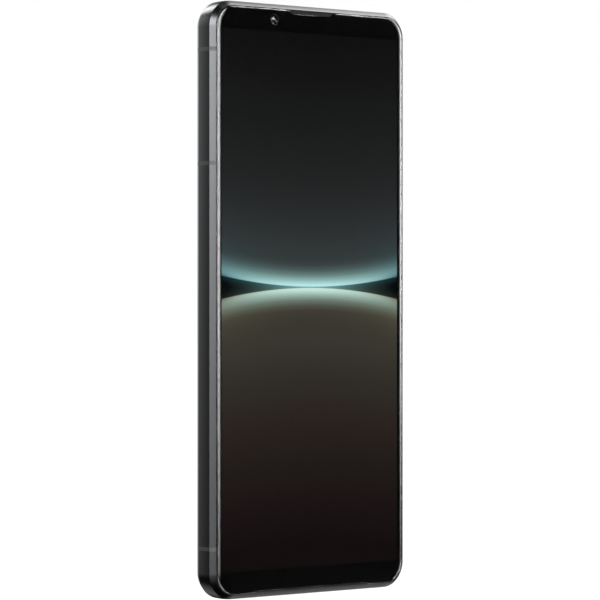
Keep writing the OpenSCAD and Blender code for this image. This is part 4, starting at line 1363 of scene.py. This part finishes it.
class HANDSET_OT_lens_barrels(bpy.types.Operator):
    """Build the three lens barrels with their ribbed mouths and coated lenses"""

    bl_idname = "handset.lens_barrels"
    bl_label = "Lens barrels"

    def execute(self, context):
        black = grained(
            "ribbed barrel", linear(20, 20, 22), 0.35, 0.3, grain=8000.0, depth=0.002
        )
        # Painted reflection tints of the three lenses: where each faces the camera, and at its
        # edge.
        reflection_tints = (
            (linear(28, 50, 110), linear(130, 80, 170)),
            (linear(20, 66, 84), linear(80, 140, 150)),
            (linear(60, 34, 96), linear(160, 104, 76)),
        )
        edge, lip, ribs, rib_deep, well = 0.1 * MM, 0.35 * MM, 4, 0.16 * MM, 1.3 * MM
        for node, pair in zip(LENSES, reflection_tints):
            low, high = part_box(node)
            base = Vector(((low.x + high.x) / 2, 0, (low.z + high.z) / 2))
            outer, front = (high.x - low.x) / 2, high.y
            mouth, eye, seat = outer - lip, outer * 0.68, front - well
            profile = [(0, low.y), (outer, low.y), (outer, front - edge), (outer - edge, front),
                       (mouth, front)]
            for k in range(ribs):
                down = front - (k + 1) * rib_deep
                profile += [
                    (mouth + (eye - mouth) * k / ribs, down),
                    (mouth + (eye - mouth) * (k + 1) / ribs, down),
                ]
            profile += [(eye, seat), (0, seat)]
            name = node.replace("_barrel", "_lens")
            piece(name + "_ring", turned(profile, base, Y_AXIS, 64), black,
                  [node], node)
            glass = dome(eye * 0.98, front - 0.5 * MM, 0.5 * MM, seat + 0.02 * MM)
            piece(name, turned(glass, base, Y_AXIS, 64), paint_lens(name + " glass", *pair),
                  body=node)
        return {"FINISHED"}


class HANDSET_OT_inner_parts(bpy.types.Operator):
    """Finish the boards, battery, coil, speakers, motor and other inner parts"""

    bl_idname = "handset.inner_parts"
    bl_label = "Inner parts"

    def execute(self, context):
        low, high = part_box("charging_coil")
        dress(["charging_coil"], paint_coil("wound copper", (low + high) / 2, 1.0 * MM))
        dress(["main_board", "sub_board", "battery_board"], paint_board(
            "circuit board", linear(16, 58, 40), linear(38, 96, 66)
        ))
        finishes = {
            "board_chips": ("chip resin", (30, 30, 32), 0.5, 0.0, 4000.0, 0.004),
            "thermal_pad": ("thermal pad", (150, 178, 196), 0.75, 0.0, 1800.0, 0.02),
            "graphite_sheet": ("graphite", (52, 53, 56), 0.4, 0.3, 2500.0, 0.004),
            "battery_cell": ("battery pouch", (58, 60, 64), 0.38, 0.6, 700.0, 0.03),
            "battery_adhesive": ("pull tape", (226, 226, 220), 0.5, 0.0, 1500.0, 0.01),
            "coil_shield": ("ferrite", (48, 46, 46), 0.55, 0.1, 1500.0, 0.01),
            "haptic_mass": ("tungsten", (120, 120, 124), 0.34, 1.0, 3000.0, 0.004),
            "antenna_cable": ("cable jacket", (28, 28, 30), 0.45, 0.0, 5000.0, 0.006),
            "upper_bracket": ("upper bracket", (44, 46, 48), 0.5, 0.0, 2500.0, 0.01),
            "lower_bracket": ("lower bracket", (44, 46, 48), 0.5, 0.0, 2500.0, 0.01),
            "camera_housings": ("module steel", (168, 168, 170), 0.32, 1.0, 3500.0, 0.004),
            "image_sensors": ("sensor silicon", (62, 44, 96), 0.16, 0.5, 9000.0, 0.001),
            "earpiece_speaker": ("earpiece case", (60, 60, 63), 0.45, 0.0, 2500.0, 0.01),
            "loudspeaker_box": ("loudspeaker case", (40, 40, 42), 0.5, 0.0, 2500.0, 0.01),
        }
        for node, (name, tone, rough, metal, grain, depth) in finishes.items():
            dress([node], grained(name, linear(*tone), rough, metal, grain=grain, depth=depth))
        dress(["display_flex", "main_flex", "key_flex"], grained(
            "ribbon film", linear(168, 106, 40), 0.35, grain=900.0, depth=0.004,
            stretch=(6, 1, 1), Coat_Weight=0.5,
        ))
        dress(["earpiece_cone", "loudspeaker_cone"], paint_cloth(
            "cone film", linear(150, 150, 152)
        ))
        return {"FINISHED"}


def paint_surround(stage):
    """The studio around the handset: a dark room with soft wall panels, white to the camera."""
    paint = Paint("studio", bpy.data.worlds)
    way = paint.node("ShaderNodeTexCoord", output="Generated")
    x, y, z = (paint.axis(way, index) for index in range(3))
    level = (x * x + y * y + 0.0001) ** 0.5
    rise = paint.node("ShaderNodeMath", {"operation": "ARCTAN2"}, {0: z, 1: level}) * DEGREE

    def turned_away(azimuth):
        """Degrees between a direction and an azimuth, seen from above."""
        turn = math.radians(azimuth)
        along = (x * math.cos(turn) + y * math.sin(turn)) / level
        turn = paint.node("ShaderNodeMath", {"operation": "ARCCOSINE"}, {0: along * 0.9999})
        return turn * DEGREE

    def panel(azimuth, half, blur, foot, foot_blur, head, light):
        """A wall panel's light: its middle, half width and soft edge, its foot and its head."""
        shown = 1 - turned_away(azimuth).above(half, blur)
        shown = shown * rise.above(foot, foot_blur) * (1 - rise.above(head, 6))
        return shown * light

    def round_panel(direction, half, blur, light):
        """A round panel's light: where it stands, its half width and its soft edge."""
        aim = Vector(direction).normalized()
        near = x * aim.x + y * aim.y + z * aim.z
        inner, limit, outer = (math.cos(math.radians(half + b)) for b in (-blur, 0, blur))
        return near.above(limit, (inner - outer) / 2) * light

    # Azimuth, half width, soft edge, foot, soft edge of the foot and head in degrees, and light
    walls = {
        "front, right": (289, 7, 7, -3.8, 5, 35, 14),
        "front, left": (250, 22, 8, -4, 8, 35, 1.8),
        "left": (208, 20, 10, 3.2, 4.5, 35, 13.5),
        "left, down to the ground": (208, 20, 10, -30, 10, 35, 0.55),
        "rear": (95, 30, 15, -2, 14, 30, 1.8),
        "rear, left": (130, 25, 12, -2, 14, 30, 0.35),
        "right": (355, 30, 10, -1.5, 3, 45, 7.5),
    }
    # Direction, half width and soft edge in degrees, and light
    rounds = {
        "high, right": ((0.64, -0.16, 0.75), 15, 6, 13),
        "high, right and front": ((0.64, -0.45, 0.62), 9, 5, 7),
        "high, rear": ((0.0, 0.77, 0.64), 11, 6, 10),
        "low, right": ((0.64, 0.3, -0.7), 14, 8, 1.2),
        "low, rear": ((0.0, 0.77, -0.64), 18, 8, 0.6),
    }
    light = stage.surround
    for numbers in walls.values():
        light = light + panel(*numbers)
    for numbers in rounds.values():
        light = light + round_panel(*numbers)
    seen = paint.node("ShaderNodeLightPath", output="Is Camera Ray")
    room = paint.node("ShaderNodeBackground", None, {"Color": (1, 1, 1), "Strength": light})
    backdrop = paint.node("ShaderNodeBackground", None, {"Color": (1, 1, 1)})
    shown = paint.node("ShaderNodeMixShader", None, {0: seen, 1: room, 2: backdrop})
    paint.node("ShaderNodeOutputWorld", None, {"Surface": shown})
    return paint.owner


def softbox(name, direction, distance, across, watts):
    """A square area light that faces the handset from a direction."""
    light = bpy.data.lights.new(name, "AREA")
    light.size = across
    light.energy = watts
    item = bpy.data.objects.new(name, light)
    bpy.context.scene.collection.objects.link(item)
    way = Vector(direction).normalized()
    item.location = MIDDLE + way * distance
    item.rotation_euler = way.to_track_quat("Z", "Y").to_euler()
    item.visible_camera = False


class HANDSET_OT_stage(bpy.types.Operator):
    """Set up the floor, the lights, the surround and the camera"""

    bl_idname = "handset.stage"
    bl_label = "Stage"

    def execute(self, context):
        scene = context.scene
        stage = scene.handset_stage
        reach = 6.0
        marks = (-reach, -reach / 3, reach / 3, reach)
        ground = bmesh.new()
        rows = [[ground.verts.new((x, y, -stage.clearance)) for x in marks] for y in marks]
        for a, b in zip(rows, rows[1:]):
            for i in range(len(marks) - 1):
                ground.faces.new((a[i], a[i + 1], b[i + 1], b[i]))
        mesh = bpy.data.meshes.new("floor")
        ground.to_mesh(mesh)
        ground.free()
        floor = bpy.data.objects.new("floor", mesh)
        scene.collection.objects.link(floor)
        paint = Paint("pale floor")
        at = paint.place()
        tone = paint.noise(at, 3.0)
        away = (paint.axis(at, 0) ** 2 + paint.axis(at, 1) ** 2) ** 0.5
        mesh.materials.append(paint.finish({
            "Base Color": paint.mix(tone, tuple(stage.floor), tuple(c * 0.9 for c in stage.floor)),
            "Roughness": 0.8 + 0.1 * tone, "Specular IOR Level": 0.1,
            # Painted shade: the floor glows less within about 0.25 m of the handset, so it is
            # greyer round its foot.
            "Emission Color": paint.mix(away.above(0.25, 0.2), (0.8, 0.8, 0.8), (1.0, 1.0, 1.0)),
            "Emission Strength": 1.0,
        }))
        floor.visible_glossy = False
        floor.visible_transmission = False
        scene.world = paint_surround(stage)
        softbox("top softbox", (0.1, -0.3, 1.0), 1.2, 0.4, 0.5)
        camera = bpy.data.cameras.new("camera")
        camera.lens = stage.lens
        camera.sensor_width = 36
        camera.shift_x = stage.shift
        camera.clip_start = 0.01
        eye = bpy.data.objects.new("camera", camera)
        scene.collection.objects.link(eye)
        way = Vector((-math.sin(stage.azimuth), -math.cos(stage.azimuth), 0))
        eye.location = MIDDLE + way * stage.distance
        eye.rotation_euler = (math.radians(90), 0, -stage.azimuth)
        scene.camera = eye
        scene.view_settings.view_transform = "Standard"
        return {"FINISHED"}


STEPS = (
    HANDSET_OT_side_frame, HANDSET_OT_cover_glass, HANDSET_OT_screen, HANDSET_OT_sound_meshes,
    HANDSET_OT_front_camera, HANDSET_OT_side_keys, HANDSET_OT_sockets, HANDSET_OT_card_tray,
    HANDSET_OT_rear_glass, HANDSET_OT_camera_island, HANDSET_OT_lens_barrels,
    HANDSET_OT_inner_parts, HANDSET_OT_stage,
)
GROUPS = {
    "handset_frame": FrameSettings, "handset_glass": GlassSettings,
    "handset_screen": ScreenSettings, "handset_stage": StageSettings,
}


class HANDSET_PT_panel(bpy.types.Panel):
    """The handset's pieces and settings"""

    bl_idname = "HANDSET_PT_panel"
    bl_label = "Handset"
    bl_space_type = "VIEW_3D"
    bl_region_type = "UI"
    bl_category = "Handset"

    def draw(self, context):
        for step in STEPS:
            self.layout.operator(step.bl_idname)
        for name, group in GROUPS.items():
            box = self.layout.box()
            settings = getattr(context.scene, name)
            for key in group.__annotations__:
                box.prop(settings, key)


def register():
    """Adds the classes and the settings to Blender."""
    for item in (*GROUPS.values(), *STEPS, HANDSET_PT_panel):
        bpy.utils.register_class(item)
    for name, group in GROUPS.items():
        setattr(bpy.types.Scene, name, bpy.props.PointerProperty(type=group))


def unregister():
    """Takes the classes and the settings out again."""
    for name in GROUPS:
        delattr(bpy.types.Scene, name)
    for item in (HANDSET_PT_panel, *reversed(STEPS), *reversed(GROUPS.values())):
        bpy.utils.unregister_class(item)


def main():
    """Builds every piece in turn, then the stage."""
    register()
    for step in STEPS:
        group, name = step.bl_idname.split(".")
        getattr(getattr(bpy.ops, group), name)()


if __name__ == "__main__":
    main()
